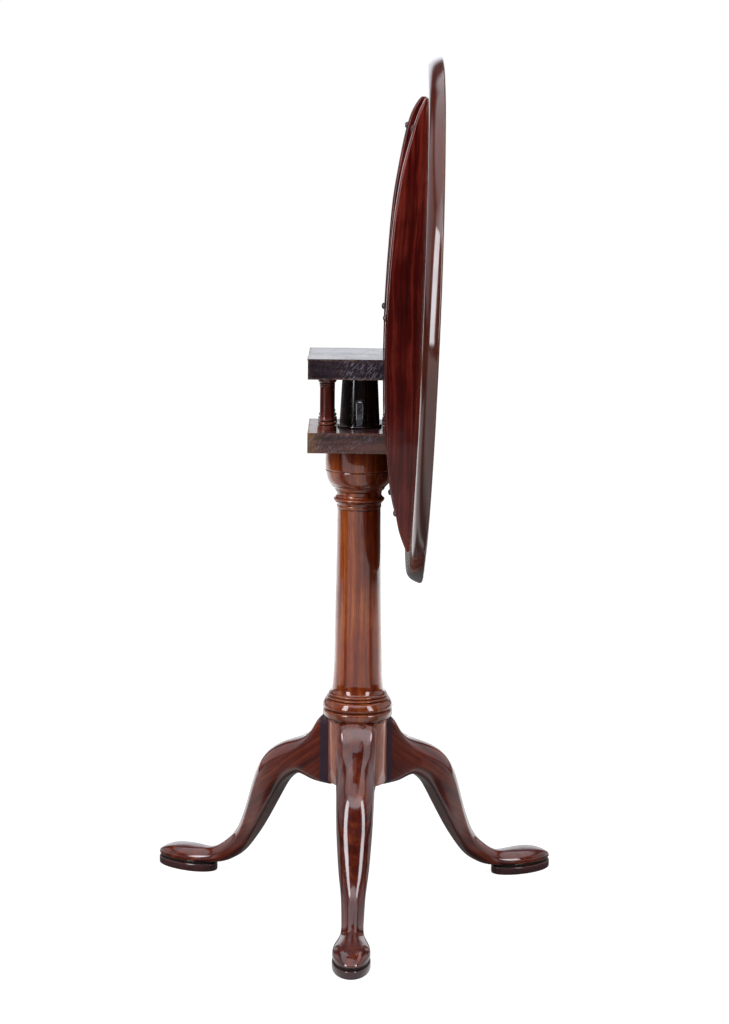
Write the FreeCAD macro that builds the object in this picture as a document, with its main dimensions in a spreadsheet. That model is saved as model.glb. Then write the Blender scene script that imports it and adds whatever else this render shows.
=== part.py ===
# Tripod table: a round top that tilts on a turning cage, a turned pillar and three cabriole legs.
#
# Frame: millimetres, +Z up, origin on the floor on the pillar's axis. The front leg points
# along -Y. The top stands tilted on its edge at +X, its underside facing the pillar.
import os

import FreeCAD, Part
import Sketcher

Vector = FreeCAD.Vector

# Driving sizes, in millimetres. Heights add up from the floor, so any one of them may change.
SIZES = {
    # Turning of the pillar, from the bottom up
    "base_bottom": 153.0,
    "base_radius": 40.0,
    "base_height": 78.5,
    "band_radius": 43.8,
    "band_height": 18.8,
    "groove_depth": 1.2,
    "torus_height": 12.1,
    "fillet_radius": 38.8,
    "fillet_height": 4.4,
    "shaft_bottom_radius": 31.0,
    "flare_height": 20.0,
    "shaft_top_radius": 26.7,
    "shaft_height": 222.7,
    "astragal_radius": 31.2,
    "neck_radius": 27.8,
    "neck_height": 22.3,
    "lip_rise": 1.6,
    "bowl_lip_radius": 31.4,
    "bowl_height": 23.5,
    "bowl_radius": 42.3,
    "score_depth": 0.5,
    "cup_height": 27.7,
    "facet_depth": 2.0,
    "facet_height": 20.0,
    # Spigot above the pillar's shoulder, on which the cage turns
    "journal_radius": 25.0,
    "spigot_top_radius": 21.8,
    "spigot_gap": 0.4,
    "pin_radius": 11.0,
    "pin_length": 15.0,
    "slot_width": 10.5,
    "slot_headroom": 1.7,
    "slot_corner": 3.5,
    "slot_drop": 2.0,
    "flat_depth": 0.8,
    # Legs: reach is from the pillar's axis to the middle of the pad
    "foot_reach": 255.0,
    "leg_root_height": 84.0,
    "leg_drop": 1.0,
    "leg_width": 49.0,
    "pad_length": 87.0,
    "pad_width": 46.0,
    "pad_thickness": 10.7,
    "pad_groove": 1.6,
    "pad_groove_height": 2.6,
    "tongue_depth": 19.0,
    "tongue_neck": 16.0,
    "tongue_tail": 24.0,
    "tongue_height": 69.0,
    # Cage
    "block_width": 127.0,
    "block_thickness": 25.0,
    "seat_gap": 0.2,
    "colonnette_height": 65.2,
    "colonnette_inset": 23.5,
    "colonnette_foot_radius": 11.8,
    "colonnette_shaft_radius": 8.8,
    "colonnette_cap_radius": 11.5,
    "colonnette_ring_radius": 9.7,
    "tenon_radius": 6.0,
    "tenon_length": 11.0,
    "ring_margin": 1.8,
    "ring_thickness": 3.0,
    "wedge_width": 7.5,
    "wedge_length": 56.0,
    "wedge_height": 29.8,
    "wedge_taper": 4.0,
    "wedge_front": 27.0,
    # Hinge between the upper block and the bearers
    "pivot_setback": 9.7,
    "pintle_radius": 8.0,
    "pintle_length": 13.0,
    "bearer_gap": 0.8,
    # Top and bearers
    "top_radius": 322.0,
    "top_thickness": 19.0,
    "top_gap": 0.3,
    "rim_lip": 3.5,
    "rim_round": 22.0,
    "rim_arris": 0.8,
    "bearer_length": 544.0,
    "bearer_depth": 39.0,
    "bearer_end_depth": 7.0,
    "bearer_thickness": 25.0,
    "bearer_arris": 2.5,
    "bearer_screw_head": 4.2,
    "bearer_screw_shank": 2.1,
    "bearer_screw_bite": 11.0,
    # Catch: a thumb bolt under the top that shoots into a keeper in the upper block's edge
    "bolt_width": 12.0,
    "bolt_thickness": 5.0,
    "bolt_length": 52.0,
    "bolt_travel": 10.0,
    "bolt_standoff": 2.5,
    "case_length": 40.0,
    "case_width": 36.0,
    "case_plate": 2.0,
    "case_wall": 1.8,
    "knob_radius": 5.5,
    "knob_height": 10.0,
    "knob_stem_radius": 2.4,
    "keeper_length": 36.0,
    "keeper_height": 12.0,
    "keeper_thickness": 1.5,
    "keeper_clearance": 0.5,
    "mortise_depth": 12.0,
    "small_screw_head": 2.6,
    "small_screw_shank": 1.2,
    "small_screw_length": 9.0,
    # Clearances: running is radial, in a bearing; fit is all round a joint that stays put
    "running_clearance": 0.08,
    "sliding_clearance": 0.3,
    "fit_clearance": 0.1,
    "overrun": 10.0,
}

LEG_ANGLES = {"leg_front": -90, "leg_right": 30, "leg_left": 150}

# Stations down a leg, as shares: along the way from the pillar's face to the pad's middle and
# up from the pad to the leg's root, for the upper edge and then the lower edge, followed by
# shares of the leg's width and of the section's smaller side for its rounded corners.
LEG_STATION_SHARES = [
    (-0.028, 1.000, -0.028, 1.000, 1.00, 0.10),
    (0.056, 0.933, 0.070, 1.012, 0.99, 0.14),
    (0.140, 0.877, 0.150, 1.040, 0.98, 0.20),
    (0.279, 0.818, 0.224, 1.000, 0.97, 0.28),
    (0.402, 0.747, 0.292, 0.919, 0.95, 0.35),
    (0.485, 0.625, 0.356, 0.771, 0.91, 0.40),
    (0.536, 0.478, 0.421, 0.592, 0.83, 0.44),
    (0.586, 0.340, 0.482, 0.426, 0.73, 0.46),
    (0.648, 0.226, 0.547, 0.269, 0.61, 0.47),
    (0.734, 0.144, 0.625, 0.125, 0.56, 0.47),
    (0.816, 0.096, 0.738, 0.022, 0.57, 0.46),
    (0.909, 0.074, 0.850, 0.000, 0.74, 0.44),
    (1.022, 0.065, 0.997, 0.000, 0.90, 0.42),
    (1.118, 0.044, 1.112, 0.000, 0.76, 0.42),
    (1.172, 0.016, 1.170, 0.000, 0.36, 0.40),
]

# Profile of a colonnette, as shares of its height from its foot, with the radius there.
COLONNETTE_SHARES = [
    (0.000, "Sizes.colonnette_foot_radius"),
    (0.058, "Sizes.colonnette_foot_radius"),
    (0.070, "Sizes.colonnette_foot_radius - Sizes.groove_depth"),
    (0.084, "Sizes.colonnette_foot_radius"),
    (0.175, "Sizes.colonnette_foot_radius"),
    (0.235, "Sizes.colonnette_foot_radius - Sizes.groove_depth"),
    (0.320, "Sizes.colonnette_ring_radius"),
    (0.425, "Sizes.colonnette_shaft_radius"),
    (0.775, "Sizes.colonnette_shaft_radius"),
    (0.805, "Sizes.colonnette_ring_radius"),
    (0.845, "Sizes.colonnette_ring_radius"),
    (0.860, "Sizes.colonnette_shaft_radius"),
    (0.925, "Sizes.colonnette_cap_radius"),
    (1.000, "Sizes.colonnette_cap_radius"),
]

# Places worked out from the sizes, as expressions on the sheet
BAND_BOTTOM = "(Sizes.base_bottom + Sizes.base_height)"
GROOVE = f"({BAND_BOTTOM} + Sizes.band_height)"
TORUS_TOP = f"({GROOVE} + Sizes.torus_height)"
FILLET_TOP = f"({TORUS_TOP} + Sizes.fillet_height)"
FLARE_TOP = f"({FILLET_TOP} + Sizes.flare_height)"
SHAFT_TOP = f"({FLARE_TOP} + Sizes.shaft_height)"
NECK_TOP = f"({SHAFT_TOP} + Sizes.neck_height)"
BOWL_BOTTOM = f"({NECK_TOP} + Sizes.lip_rise)"
SCORE = f"({BOWL_BOTTOM} + Sizes.bowl_height)"
SHOULDER = f"({SCORE} + Sizes.cup_height)"
LEG_BOTTOM = "(Sizes.base_bottom - Sizes.leg_drop)"
BLOCK_BOTTOM = f"({SHOULDER} + Sizes.seat_gap)"
BLOCK_TOP = f"({BLOCK_BOTTOM} + Sizes.block_thickness)"
RING_BOTTOM = f"({BLOCK_TOP} + Sizes.fit_clearance)"
RING_TOP = f"({RING_BOTTOM} + Sizes.ring_thickness)"
RING_RADIUS = "(Sizes.journal_radius + Sizes.ring_margin)"
WEDGE_BOTTOM = f"({RING_TOP} + Sizes.fit_clearance)"
SLOT_TOP = f"({WEDGE_BOTTOM} + Sizes.wedge_height + Sizes.slot_headroom)"
UPPER_BOTTOM = f"({BLOCK_TOP} + Sizes.colonnette_height)"
UPPER_TOP = f"({UPPER_BOTTOM} + Sizes.block_thickness)"
SPIGOT_TOP = f"({UPPER_BOTTOM} - Sizes.spigot_gap)"
PIN_TOP = f"({SPIGOT_TOP} + Sizes.pin_length)"
HALF_BLOCK = "(Sizes.block_width / 2)"
HINGE_X = f"({HALF_BLOCK} - Sizes.pivot_setback)"
HINGE_Z = f"({UPPER_BOTTOM} + Sizes.block_thickness / 2)"
# Height of the top's underside over the hinge when the top lies level
UNDERSIDE = "(Sizes.block_thickness / 2 + Sizes.top_gap)"
# The top tilts until its underside meets the lower block's lower edge
STOP_REACH = "(Sizes.pivot_setback + Sizes.top_gap)"
STOP_DROP = f"({HINGE_Z} - {BLOCK_BOTTOM})"
LEAN = f"(asin({UNDERSIDE} / sqrt({STOP_REACH}^2 + {STOP_DROP}^2)) - atan({STOP_REACH} / {STOP_DROP}))"
# The bearers bow to an arc through their ends and their deepest point
BEARER_RISE = "(Sizes.bearer_depth - Sizes.bearer_end_depth)"
BEARER_ARC = f"((Sizes.bearer_length^2 / 4 + {BEARER_RISE}^2) / (2 * {BEARER_RISE}))"
BEARER_INNER = f"({HALF_BLOCK} + Sizes.bearer_gap)"
BEARER_MIDDLE = f"({BEARER_INNER} + Sizes.bearer_thickness / 2)"
# The rim's rounding under the top is an arc tangent to the underside
RIM_FALL = "(Sizes.top_thickness - Sizes.rim_lip)"
RIM_ARC = f"((Sizes.rim_round^2 + {RIM_FALL}^2) / (2 * {RIM_FALL}))"
# The bolt's thickness lies between these heights over the hinge, the top level
BOLT_TOP = f"({UNDERSIDE} - Sizes.case_plate - Sizes.bolt_standoff)"
BOLT_BOTTOM = f"({BOLT_TOP} - Sizes.bolt_thickness)"
# The bolt's nose stands this far along from the hinge when it is drawn back
BOLT_NOSE = "(-(Sizes.block_width - Sizes.pivot_setback) - Sizes.bolt_travel / 5)"
CASE_START = f"({BOLT_NOSE} - Sizes.bolt_travel / 2)"
CASE_END = f"({CASE_START} - Sizes.case_length)"
KNOB_PLACE = f"({CASE_START} - Sizes.case_length / 2 - Sizes.bolt_travel / 2)"
# Places of a bearer's screws from the top's middle, as shares of half the bearer's length
BEARER_SCREW_SHARES = {"high": -0.868, "middle": -0.037, "low": 0.835}
BEARER_SCREWS = {
    name: f"({share} * Sizes.bearer_length / 2)" for name, share in BEARER_SCREW_SHARES.items()
}

doc = FreeCAD.newDocument("tripod_table")
sheet = doc.addObject("Spreadsheet::Sheet", "Sizes")
for row, (alias, value) in enumerate(SIZES.items(), start=1):
    sheet.set(f"A{row}", alias)
    sheet.set(f"B{row}", str(value))
    sheet.setAlias(f"B{row}", alias)
doc.recompute()


def size(expression):
    """The present value of an expression on the sheet."""
    value = sheet.evalExpression(expression)
    return float(getattr(value, "Value", value))


def bind(thing, **bindings):
    """Bind properties of an object to expressions on the sheet."""
    for name, expression in bindings.items():
        thing.setExpression(name.replace("__", "."), expression)


def origin_plane(body, role):
    """One of the body's own origin planes or axes."""
    return next(feature for feature in body.Origin.OriginFeatures if feature.Role == role)


def new_body(name):
    body = doc.addObject("PartDesign::Body", name)
    body.Label = name
    return body


def body_sketch(body, role, name, lift=None):
    """A sketch on one of the body's origin planes, lifted off it by an expression."""
    sketch = body.newObject("Sketcher::SketchObject", name)
    sketch.AttachmentSupport = [(origin_plane(body, role), "")]
    sketch.MapMode = "FlatFace"
    if lift is not None:
        bind(sketch, AttachmentOffset__Base__z=lift)
    return sketch


def hold(sketch, kind, geometry, point, expression):
    """Hold one point of a sketch at a distance from the sketch's origin."""
    number = sketch.addConstraint(Sketcher.Constraint(kind, -1, 1, geometry, point, size(expression)))
    sketch.setExpression(f"Constraints[{number}]", expression)


def arc_between(start, end, radius):
    """An arc under a half circle from start round to end, counter-clockwise."""
    chord = end - start
    outward = Vector(chord.y, -chord.x, 0).normalize()
    rise = radius - (radius**2 - (chord.Length / 2) ** 2) ** 0.5
    return Part.Arc(start, (start + end) / 2 + outward * rise, end)


def chord_between(corner, following):
    """Expression for the distance between two corners."""
    return f"sqrt((({following[0]}) - ({corner[0]}))^2 + (({following[1]}) - ({corner[1]}))^2)"


def outline(sketch, corners):
    """Draw a closed outline, counter-clockwise, through corners of (x, y) or (x, y, bend).

    A bend makes an arc to the next corner. As an expression it is the arc's radius; as a number it
    is the radius over the chord, hollow if it is negative.
    """
    first = sketch.GeometryCount
    count = len(corners)
    places = [Vector(size(corner[0]), size(corner[1]), 0) for corner in corners]
    ends = []
    for number, corner in enumerate(corners):
        following = (number + 1) % count
        near, far = places[number], places[following]
        hollow = len(corner) == 3 and not isinstance(corner[2], str) and corner[2] < 0
        if len(corner) == 2:
            sketch.addGeometry(Part.LineSegment(near, far))
        else:
            radius = corner[2]
            if not isinstance(radius, str):
                radius = f"{abs(radius)} * {chord_between(corner, corners[following])}"
            # Arcs are stored counter-clockwise, so a hollow one starts at its far end
            if hollow:
                near, far = far, near
            made = sketch.addGeometry(arc_between(near, far, size(radius)))
            held = sketch.addConstraint(Sketcher.Constraint("Radius", made, size(radius)))
            sketch.setExpression(f"Constraints[{held}]", radius)
        ends.append((2, 1) if hollow else (1, 2))
    for number in range(count):
        following = (number + 1) % count
        pair = (first + number, ends[number][1], first + following, ends[following][0])
        sketch.addConstraint(Sketcher.Constraint("Coincident", *pair))
    for number, corner in enumerate(corners):
        hold(sketch, "DistanceX", first + number, ends[number][0], corner[0])
        hold(sketch, "DistanceY", first + number, ends[number][0], corner[1])


def circle(sketch, x, y, radius):
    """Draw a circle whose centre and radius follow the sheet."""
    made = sketch.addGeometry(Part.Circle(Vector(size(x), size(y), 0), Vector(0, 0, 1), size(radius)))
    hold(sketch, "DistanceX", made, 3, x)
    hold(sketch, "DistanceY", made, 3, y)
    number = sketch.addConstraint(Sketcher.Constraint("Radius", made, size(radius)))
    sketch.setExpression(f"Constraints[{number}]", radius)


def box_corners(low_x, high_x, low_y, high_y):
    return [(low_x, low_y), (high_x, low_y), (high_x, high_y), (low_x, high_y)]


def revolve(body, sketch, name):
    feature = body.newObject("PartDesign::Revolution", name)
    feature.Profile = sketch
    feature.ReferenceAxis = (sketch, ["V_Axis"])
    feature.Angle = 360
    return feature


def pad(body, sketch, name, length, both_ways=False):
    feature = body.newObject("PartDesign::Pad", name)
    feature.Profile = sketch
    feature.SideType = "Symmetric" if both_ways else "One side"
    bind(feature, Length=length)
    return feature


def pocket(body, sketch, name, length, both_ways=False, upward=False):
    """Cut a sketch into the body, and make sure that it has cut something."""
    doc.recompute()
    before = body.Shape.Volume
    feature = body.newObject("PartDesign::Pocket", name)
    feature.Profile = sketch
    feature.SideType = "Symmetric" if both_ways else "One side"
    feature.Reversed = upward
    bind(feature, Length=length)
    doc.recompute()
    if not body.Shape.Volume < before:
        raise RuntimeError(f"{name} cuts nothing")
    return feature


def three_round(body, feature, name):
    """Repeat a cut three times round the body's upright axis."""
    pattern = body.newObject("PartDesign::PolarPattern", name)
    pattern.Originals = [feature]
    pattern.Axis = (origin_plane(body, "Z_Axis"), [""])
    pattern.Angle = 360
    pattern.Occurrences = len(LEG_ANGLES)
    body.Tip = pattern
    return pattern


# Pillar
def pillar_outline():
    """Corners of the turned outline, from the bottom of the axis round to the top of the pin."""
    groove_radius = "(Sizes.band_radius - Sizes.groove_depth)"
    split_radius = "(Sizes.astragal_radius - Sizes.groove_depth)"
    score_radius = "(Sizes.bowl_radius - Sizes.score_depth)"
    return [
        ("0", "Sizes.base_bottom"),
        ("Sizes.base_radius", "Sizes.base_bottom"),
        ("Sizes.base_radius", BAND_BOTTOM, 1.1),
        ("Sizes.band_radius", f"{BAND_BOTTOM} + Sizes.band_height * 0.75"),
        (groove_radius, GROOVE, 0.7),
        ("Sizes.fillet_radius", TORUS_TOP),
        ("Sizes.fillet_radius", FILLET_TOP, -1.5),
        ("Sizes.shaft_bottom_radius", FLARE_TOP),
        ("Sizes.shaft_top_radius", SHAFT_TOP),
        ("Sizes.neck_radius", f"{SHAFT_TOP} + Sizes.neck_height * 0.2", 0.6),
        (split_radius, f"{SHAFT_TOP} + Sizes.neck_height * 0.43", 0.6),
        ("Sizes.neck_radius", f"{SHAFT_TOP} + Sizes.neck_height * 0.65"),
        ("Sizes.neck_radius", NECK_TOP),
        ("Sizes.bowl_lip_radius", BOWL_BOTTOM, 1.05),
        (score_radius, SCORE),
        ("Sizes.bowl_radius", f"{SCORE} + Sizes.score_depth"),
        ("Sizes.bowl_radius", SHOULDER),
        ("Sizes.journal_radius", SHOULDER),
        ("Sizes.journal_radius", RING_TOP),
        ("Sizes.spigot_top_radius", SPIGOT_TOP),
        ("Sizes.pin_radius", SPIGOT_TOP),
        ("Sizes.pin_radius", PIN_TOP),
        ("0", PIN_TOP),
    ]


def dovetail(clearance):
    """Corners of a leg's dovetail along +X seen from above, widening towards the pillar's axis."""
    neck = f"(Sizes.tongue_neck / 2 + {clearance})"
    tail = f"(Sizes.tongue_tail / 2 + {clearance})"
    root = f"(Sizes.base_radius - Sizes.tongue_depth - {clearance})"
    mouth = "(Sizes.base_radius + Sizes.facet_depth)"
    return [(root, f"-{tail}"), (mouth, f"-{neck}"), (mouth, neck), (root, tail)]


def turned_to_front(corners):
    """The same corners swung from +X to -Y."""
    return [(y, f"-({x})") for x, y in corners]


def make_pillar():
    body = new_body("pillar")
    sketch = body_sketch(body, "XZ_Plane", "pillar_turning")
    outline(sketch, pillar_outline())
    revolve(body, sketch, "pillar_turned")

    sockets = body_sketch(body, "XY_Plane", "socket_plan", "Sizes.base_bottom")
    outline(sockets, turned_to_front(dovetail("Sizes.fit_clearance")))
    depth = "Sizes.tongue_height + Sizes.fit_clearance"
    cut = pocket(body, sockets, "leg_socket", depth, upward=True)
    three_round(body, cut, "leg_sockets")

    facet = body_sketch(body, "YZ_Plane", "facet_side")
    outer = "(Sizes.base_radius + Sizes.facet_depth)"
    outline(
        facet,
        [
            ("Sizes.base_radius - Sizes.facet_depth", "Sizes.base_bottom"),
            (outer, "Sizes.base_bottom - Sizes.facet_height"),
            (outer, "Sizes.base_bottom + Sizes.facet_height * 2"),
        ],
    )
    cut = pocket(body, facet, "base_facet", "Sizes.base_radius", both_ways=True)
    three_round(body, cut, "base_facets")

    slot = body_sketch(body, "XZ_Plane", "wedge_slot_front")
    half = "(Sizes.slot_width / 2)"
    side = f"({half} - Sizes.slot_corner)"
    low = f"({BLOCK_TOP} - Sizes.slot_drop)"
    spring = f"({SLOT_TOP} - Sizes.slot_corner)"
    outline(
        slot,
        [
            (f"-{half}", low),
            (half, low),
            (half, spring, "Sizes.slot_corner"),
            (side, SLOT_TOP),
            (f"-{side}", SLOT_TOP, "Sizes.slot_corner"),
            (f"-{half}", spring),
        ],
    )
    pocket(body, slot, "wedge_slot", "Sizes.journal_radius * 2 + Sizes.overrun", both_ways=True)

    flats = body_sketch(body, "YZ_Plane", "spigot_flat_side")
    face = "(-Sizes.journal_radius + Sizes.flat_depth)"
    far = "(-Sizes.journal_radius - Sizes.overrun)"
    top = f"({face} + Sizes.journal_radius - Sizes.spigot_top_radius)"
    high = f"({SPIGOT_TOP} - Sizes.slot_corner)"
    outline(flats, [(far, RING_TOP), (face, RING_TOP), (top, high), (far, high)])
    pocket(body, flats, "spigot_flat", "Sizes.journal_radius * 2", both_ways=True)
    return body


# Legs
def make_leg_section(number, upper, lower, width_share, corner_share):
    """A rounded rectangle square to the leg's side, between places on its upper and lower edges."""
    run = f"({upper[0]} - {lower[0]})"
    rise = f"({upper[1]} - {lower[1]})"
    height = f"sqrt({run}^2 + {rise}^2)"
    width = f"({width_share} * Sizes.leg_width)"
    corner = f"({corner_share} * min({height}; {width}))"
    edge, edge_end = f"({height} / 2)", f"({height} / 2 - {corner})"
    side, side_end = f"({width} / 2)", f"({width} / 2 - {corner})"
    sketch = doc.addObject("Sketcher::SketchObject", f"leg_section_{number}")
    outline(
        sketch,
        [
            (edge_end, f"-{side}", corner),
            (edge, f"-{side_end}"),
            (edge, side_end, corner),
            (edge_end, side),
            (f"-{edge_end}", side, corner),
            (f"-{edge}", side_end),
            (f"-{edge}", f"-{side_end}", corner),
            (f"-{edge_end}", f"-{side}"),
        ],
    )
    sketch.Placement = FreeCAD.Placement(Vector(0, 0, 0), FreeCAD.Rotation(Vector(0, 1, 0), -90))
    bind(
        sketch,
        Placement__Base__x=f"({upper[0]} + {lower[0]}) / 2",
        Placement__Base__z=f"({upper[1]} + {lower[1]}) / 2",
        Placement__Rotation__Angle=f"atan2(-{rise}; {run})",
    )
    return sketch


def make_leg_bar():
    """The shaped bar of a leg, lofted down its stations, along +X."""
    reach = "(Sizes.foot_reach - Sizes.base_radius)"
    top = f"({LEG_BOTTOM} + Sizes.leg_root_height - Sizes.pad_thickness)"
    bottom = f"({LEG_BOTTOM} - Sizes.pad_thickness)"
    sections = []
    for number, (up_reach, up_height, low_reach, low_height, width, corner) in enumerate(LEG_STATION_SHARES):
        upper = (f"(Sizes.base_radius + {up_reach} * {reach})", f"(Sizes.pad_thickness + {up_height} * {top})")
        lower = (
            f"(Sizes.base_radius + {low_reach} * {reach})",
            f"(Sizes.pad_thickness + {low_height} * {bottom})",
        )
        sections.append(make_leg_section(number, upper, lower, width, corner))
    bar = doc.addObject("Part::Loft", "leg_bar")
    bar.Sections = sections
    bar.Solid = True
    return bar


def make_pad(name, inset, bottom, height):
    """An oval disc under the foot, drawn in by inset, from bottom up by height."""
    oval = doc.addObject("Part::Ellipse", f"{name}_oval")
    bind(
        oval,
        MajorRadius=f"Sizes.pad_length / 2 - {inset}",
        MinorRadius=f"Sizes.pad_width / 2 - {inset}",
        Placement__Base__x="Sizes.foot_reach",
        Placement__Base__z=bottom,
    )
    disc = doc.addObject("Part::Extrusion", name)
    disc.Base = oval
    disc.DirMode = "Custom"
    disc.Dir = Vector(0, 0, 1)
    disc.Solid = True
    bind(disc, LengthFwd=height)
    return disc


def make_leg_parts():
    """What all three legs share: the shouldered leg with its pad and its dovetail tongue."""
    bar = make_leg_bar()
    shoe = make_pad("pad_disc", "0", "0", "Sizes.pad_thickness - Sizes.pad_groove_height")
    neck = make_pad(
        "pad_neck",
        "Sizes.pad_groove",
        "Sizes.pad_thickness - Sizes.pad_groove_height - Sizes.pad_groove",
        "Sizes.pad_groove_height + Sizes.pad_groove * 2",
    )
    shape = doc.addObject("Part::MultiFuse", "leg_and_pad")
    shape.Shapes = [bar, shoe, neck]

    form = new_body("pillar_form")
    sketch = body_sketch(form, "XZ_Plane", "pillar_form_turning")
    outline(sketch, pillar_outline())
    revolve(form, sketch, "pillar_form_turned")
    shouldered = doc.addObject("Part::Cut", "leg_shouldered")
    shouldered.Base = shape
    shouldered.Tool = form

    tongue = new_body("leg_tongue")
    plan = body_sketch(tongue, "XY_Plane", "tongue_plan", "Sizes.base_bottom")
    outline(plan, dovetail("0"))
    pad(tongue, plan, "tongue_raised", "Sizes.tongue_height")
    return shouldered, tongue


def make_leg(name, angle, shouldered, tongue):
    leg = doc.addObject("Part::MultiFuse", name)
    leg.Label = name
    leg.Shapes = [shouldered, tongue]
    leg.Placement = FreeCAD.Placement(Vector(0, 0, 0), FreeCAD.Rotation(Vector(0, 0, 1), angle))
    return leg


# Cage
def make_collar_ring():
    """The thin turned ring on the lower block that the wedge bears on."""
    body = new_body("collar_ring")
    sketch = body_sketch(body, "XZ_Plane", "ring_section")
    inner = "(Sizes.journal_radius + Sizes.fit_clearance)"
    outline(
        sketch,
        [(inner, RING_BOTTOM), (RING_RADIUS, RING_BOTTOM, 0.6), (RING_RADIUS, RING_TOP), (inner, RING_TOP)],
    )
    revolve(body, sketch, "ring_turned")
    return body


def make_wedge():
    """The wedge through the spigot, its thick end to the front."""
    body = new_body("wedge")
    sketch = body_sketch(body, "YZ_Plane", "wedge_side")
    front = "(-Sizes.wedge_front)"
    back = f"({front} + Sizes.wedge_length)"
    outline(
        sketch,
        [
            (front, WEDGE_BOTTOM),
            (back, WEDGE_BOTTOM),
            (back, f"{WEDGE_BOTTOM} + Sizes.wedge_height - Sizes.wedge_taper"),
            (front, f"{WEDGE_BOTTOM} + Sizes.wedge_height"),
        ],
    )
    pad(body, sketch, "wedge_sawn", "Sizes.wedge_width", both_ways=True)
    return body


def colonnette_places():
    half = f"({HALF_BLOCK} - Sizes.colonnette_inset)"
    return {
        "colonnette_front_left": (f"-{half}", f"-{half}"),
        "colonnette_front_right": (half, f"-{half}"),
        "colonnette_back_left": (f"-{half}", half),
        "colonnette_back_right": (half, half),
    }


def tenon_sockets(body, name, lift, upward):
    """Blind round sockets for the four colonnettes' tenons."""
    sketch = body_sketch(body, "XY_Plane", f"{name}_plan", lift)
    for x, y in colonnette_places().values():
        circle(sketch, x, y, "Sizes.tenon_radius + Sizes.fit_clearance")
    pocket(body, sketch, name, "Sizes.tenon_length + Sizes.fit_clearance", upward=upward)


def make_lower_block():
    body = new_body("lower_block")
    sketch = body_sketch(body, "XY_Plane", "lower_block_plan", BLOCK_BOTTOM)
    outline(sketch, box_corners(f"-{HALF_BLOCK}", HALF_BLOCK, f"-{HALF_BLOCK}", HALF_BLOCK))
    circle(sketch, "0", "0", "Sizes.journal_radius + Sizes.running_clearance")
    pad(body, sketch, "lower_block_sawn", "Sizes.block_thickness")
    tenon_sockets(body, "lower_tenon_sockets", BLOCK_TOP, upward=False)
    return body


def make_upper_block():
    """The block that the top rests on, with a pintle at each end of its rounded edge."""
    body = new_body("upper_block")
    sketch = body_sketch(body, "XZ_Plane", "upper_block_end")
    half_thick = "(Sizes.block_thickness / 2)"
    corner = f"({HINGE_Z} + sqrt({half_thick}^2 - Sizes.pivot_setback^2))"
    outline(
        sketch,
        [
            (f"-{HALF_BLOCK}", UPPER_BOTTOM),
            (HALF_BLOCK, UPPER_BOTTOM),
            (HALF_BLOCK, corner, half_thick),
            (HINGE_X, UPPER_TOP),
            (f"-{HALF_BLOCK}", UPPER_TOP),
        ],
    )
    pad(body, sketch, "upper_block_sawn", "Sizes.block_width", both_ways=True)

    pintles = body_sketch(body, "XZ_Plane", "pintle_circle")
    circle(pintles, HINGE_X, HINGE_Z, "Sizes.pintle_radius")
    pad(body, pintles, "pintles", "Sizes.block_width + Sizes.pintle_length * 2", both_ways=True)

    pin = body_sketch(body, "XY_Plane", "pin_hole_plan", UPPER_BOTTOM)
    circle(pin, "0", "0", "Sizes.pin_radius + Sizes.running_clearance")
    depth = f"{PIN_TOP} + Sizes.sliding_clearance - {UPPER_BOTTOM}"
    pocket(body, pin, "pin_hole", depth, upward=True)
    tenon_sockets(body, "upper_tenon_sockets", UPPER_BOTTOM, upward=True)

    recess = body_sketch(body, "YZ_Plane", "keeper_recess_side", f"-{HALF_BLOCK}")
    low, high = keeper_heights()
    length = "(Sizes.keeper_length / 2)"
    outline(recess, box_corners(f"-{length}", length, low, high))
    pocket(body, recess, "keeper_recess", "Sizes.keeper_thickness", upward=True)

    mortise = body_sketch(body, "YZ_Plane", "bolt_mortise_side", f"-{HALF_BLOCK}")
    outline(mortise, bolt_window())
    pocket(body, mortise, "bolt_mortise", "Sizes.mortise_depth", upward=True)

    holes = body_sketch(body, "YZ_Plane", "keeper_screw_holes_side", f"-{HALF_BLOCK}")
    for place in (-1, 1):
        circle(holes, keeper_screw_y(place), keeper_middle(), "Sizes.small_screw_shank + Sizes.fit_clearance")
    pocket(body, holes, "keeper_screw_holes", "Sizes.small_screw_length + Sizes.fit_clearance", upward=True)
    return body


def keeper_middle():
    return f"({HINGE_Z} + ({BOLT_TOP} + {BOLT_BOTTOM}) / 2)"


def keeper_heights():
    """Lower and upper edge of the keeper plate, centred on the bolt."""
    half = "(Sizes.keeper_height / 2)"
    return f"({keeper_middle()} - {half})", f"({keeper_middle()} + {half})"


def keeper_screw_y(side):
    return f"{side} * (Sizes.keeper_length / 2 + Sizes.bolt_width / 2) / 2"


def bolt_window():
    """Corners of the hole that the bolt's nose enters, seen along X."""
    half = "(Sizes.bolt_width / 2 + Sizes.keeper_clearance)"
    low = f"({HINGE_Z} + {BOLT_BOTTOM} - Sizes.keeper_clearance)"
    high = f"({HINGE_Z} + {BOLT_TOP} + Sizes.keeper_clearance)"
    return box_corners(f"-{half}", half, low, high)


def make_keeper_plate():
    """The brass plate let into the block's edge round the bolt's mortise."""
    body = new_body("keeper_plate")
    sketch = body_sketch(body, "YZ_Plane", "keeper_face", f"-{HALF_BLOCK}")
    low, high = keeper_heights()
    length = "(Sizes.keeper_length / 2 - Sizes.fit_clearance)"
    inset = "Sizes.fit_clearance"
    outline(sketch, box_corners(f"-{length}", length, f"{low} + {inset}", f"{high} - {inset}"))
    outline(sketch, bolt_window())
    for place in (-1, 1):
        circle(sketch, keeper_screw_y(place), keeper_middle(), "Sizes.small_screw_shank + Sizes.fit_clearance")
    pad(body, sketch, "keeper_cut", "Sizes.keeper_thickness")
    return body


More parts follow.
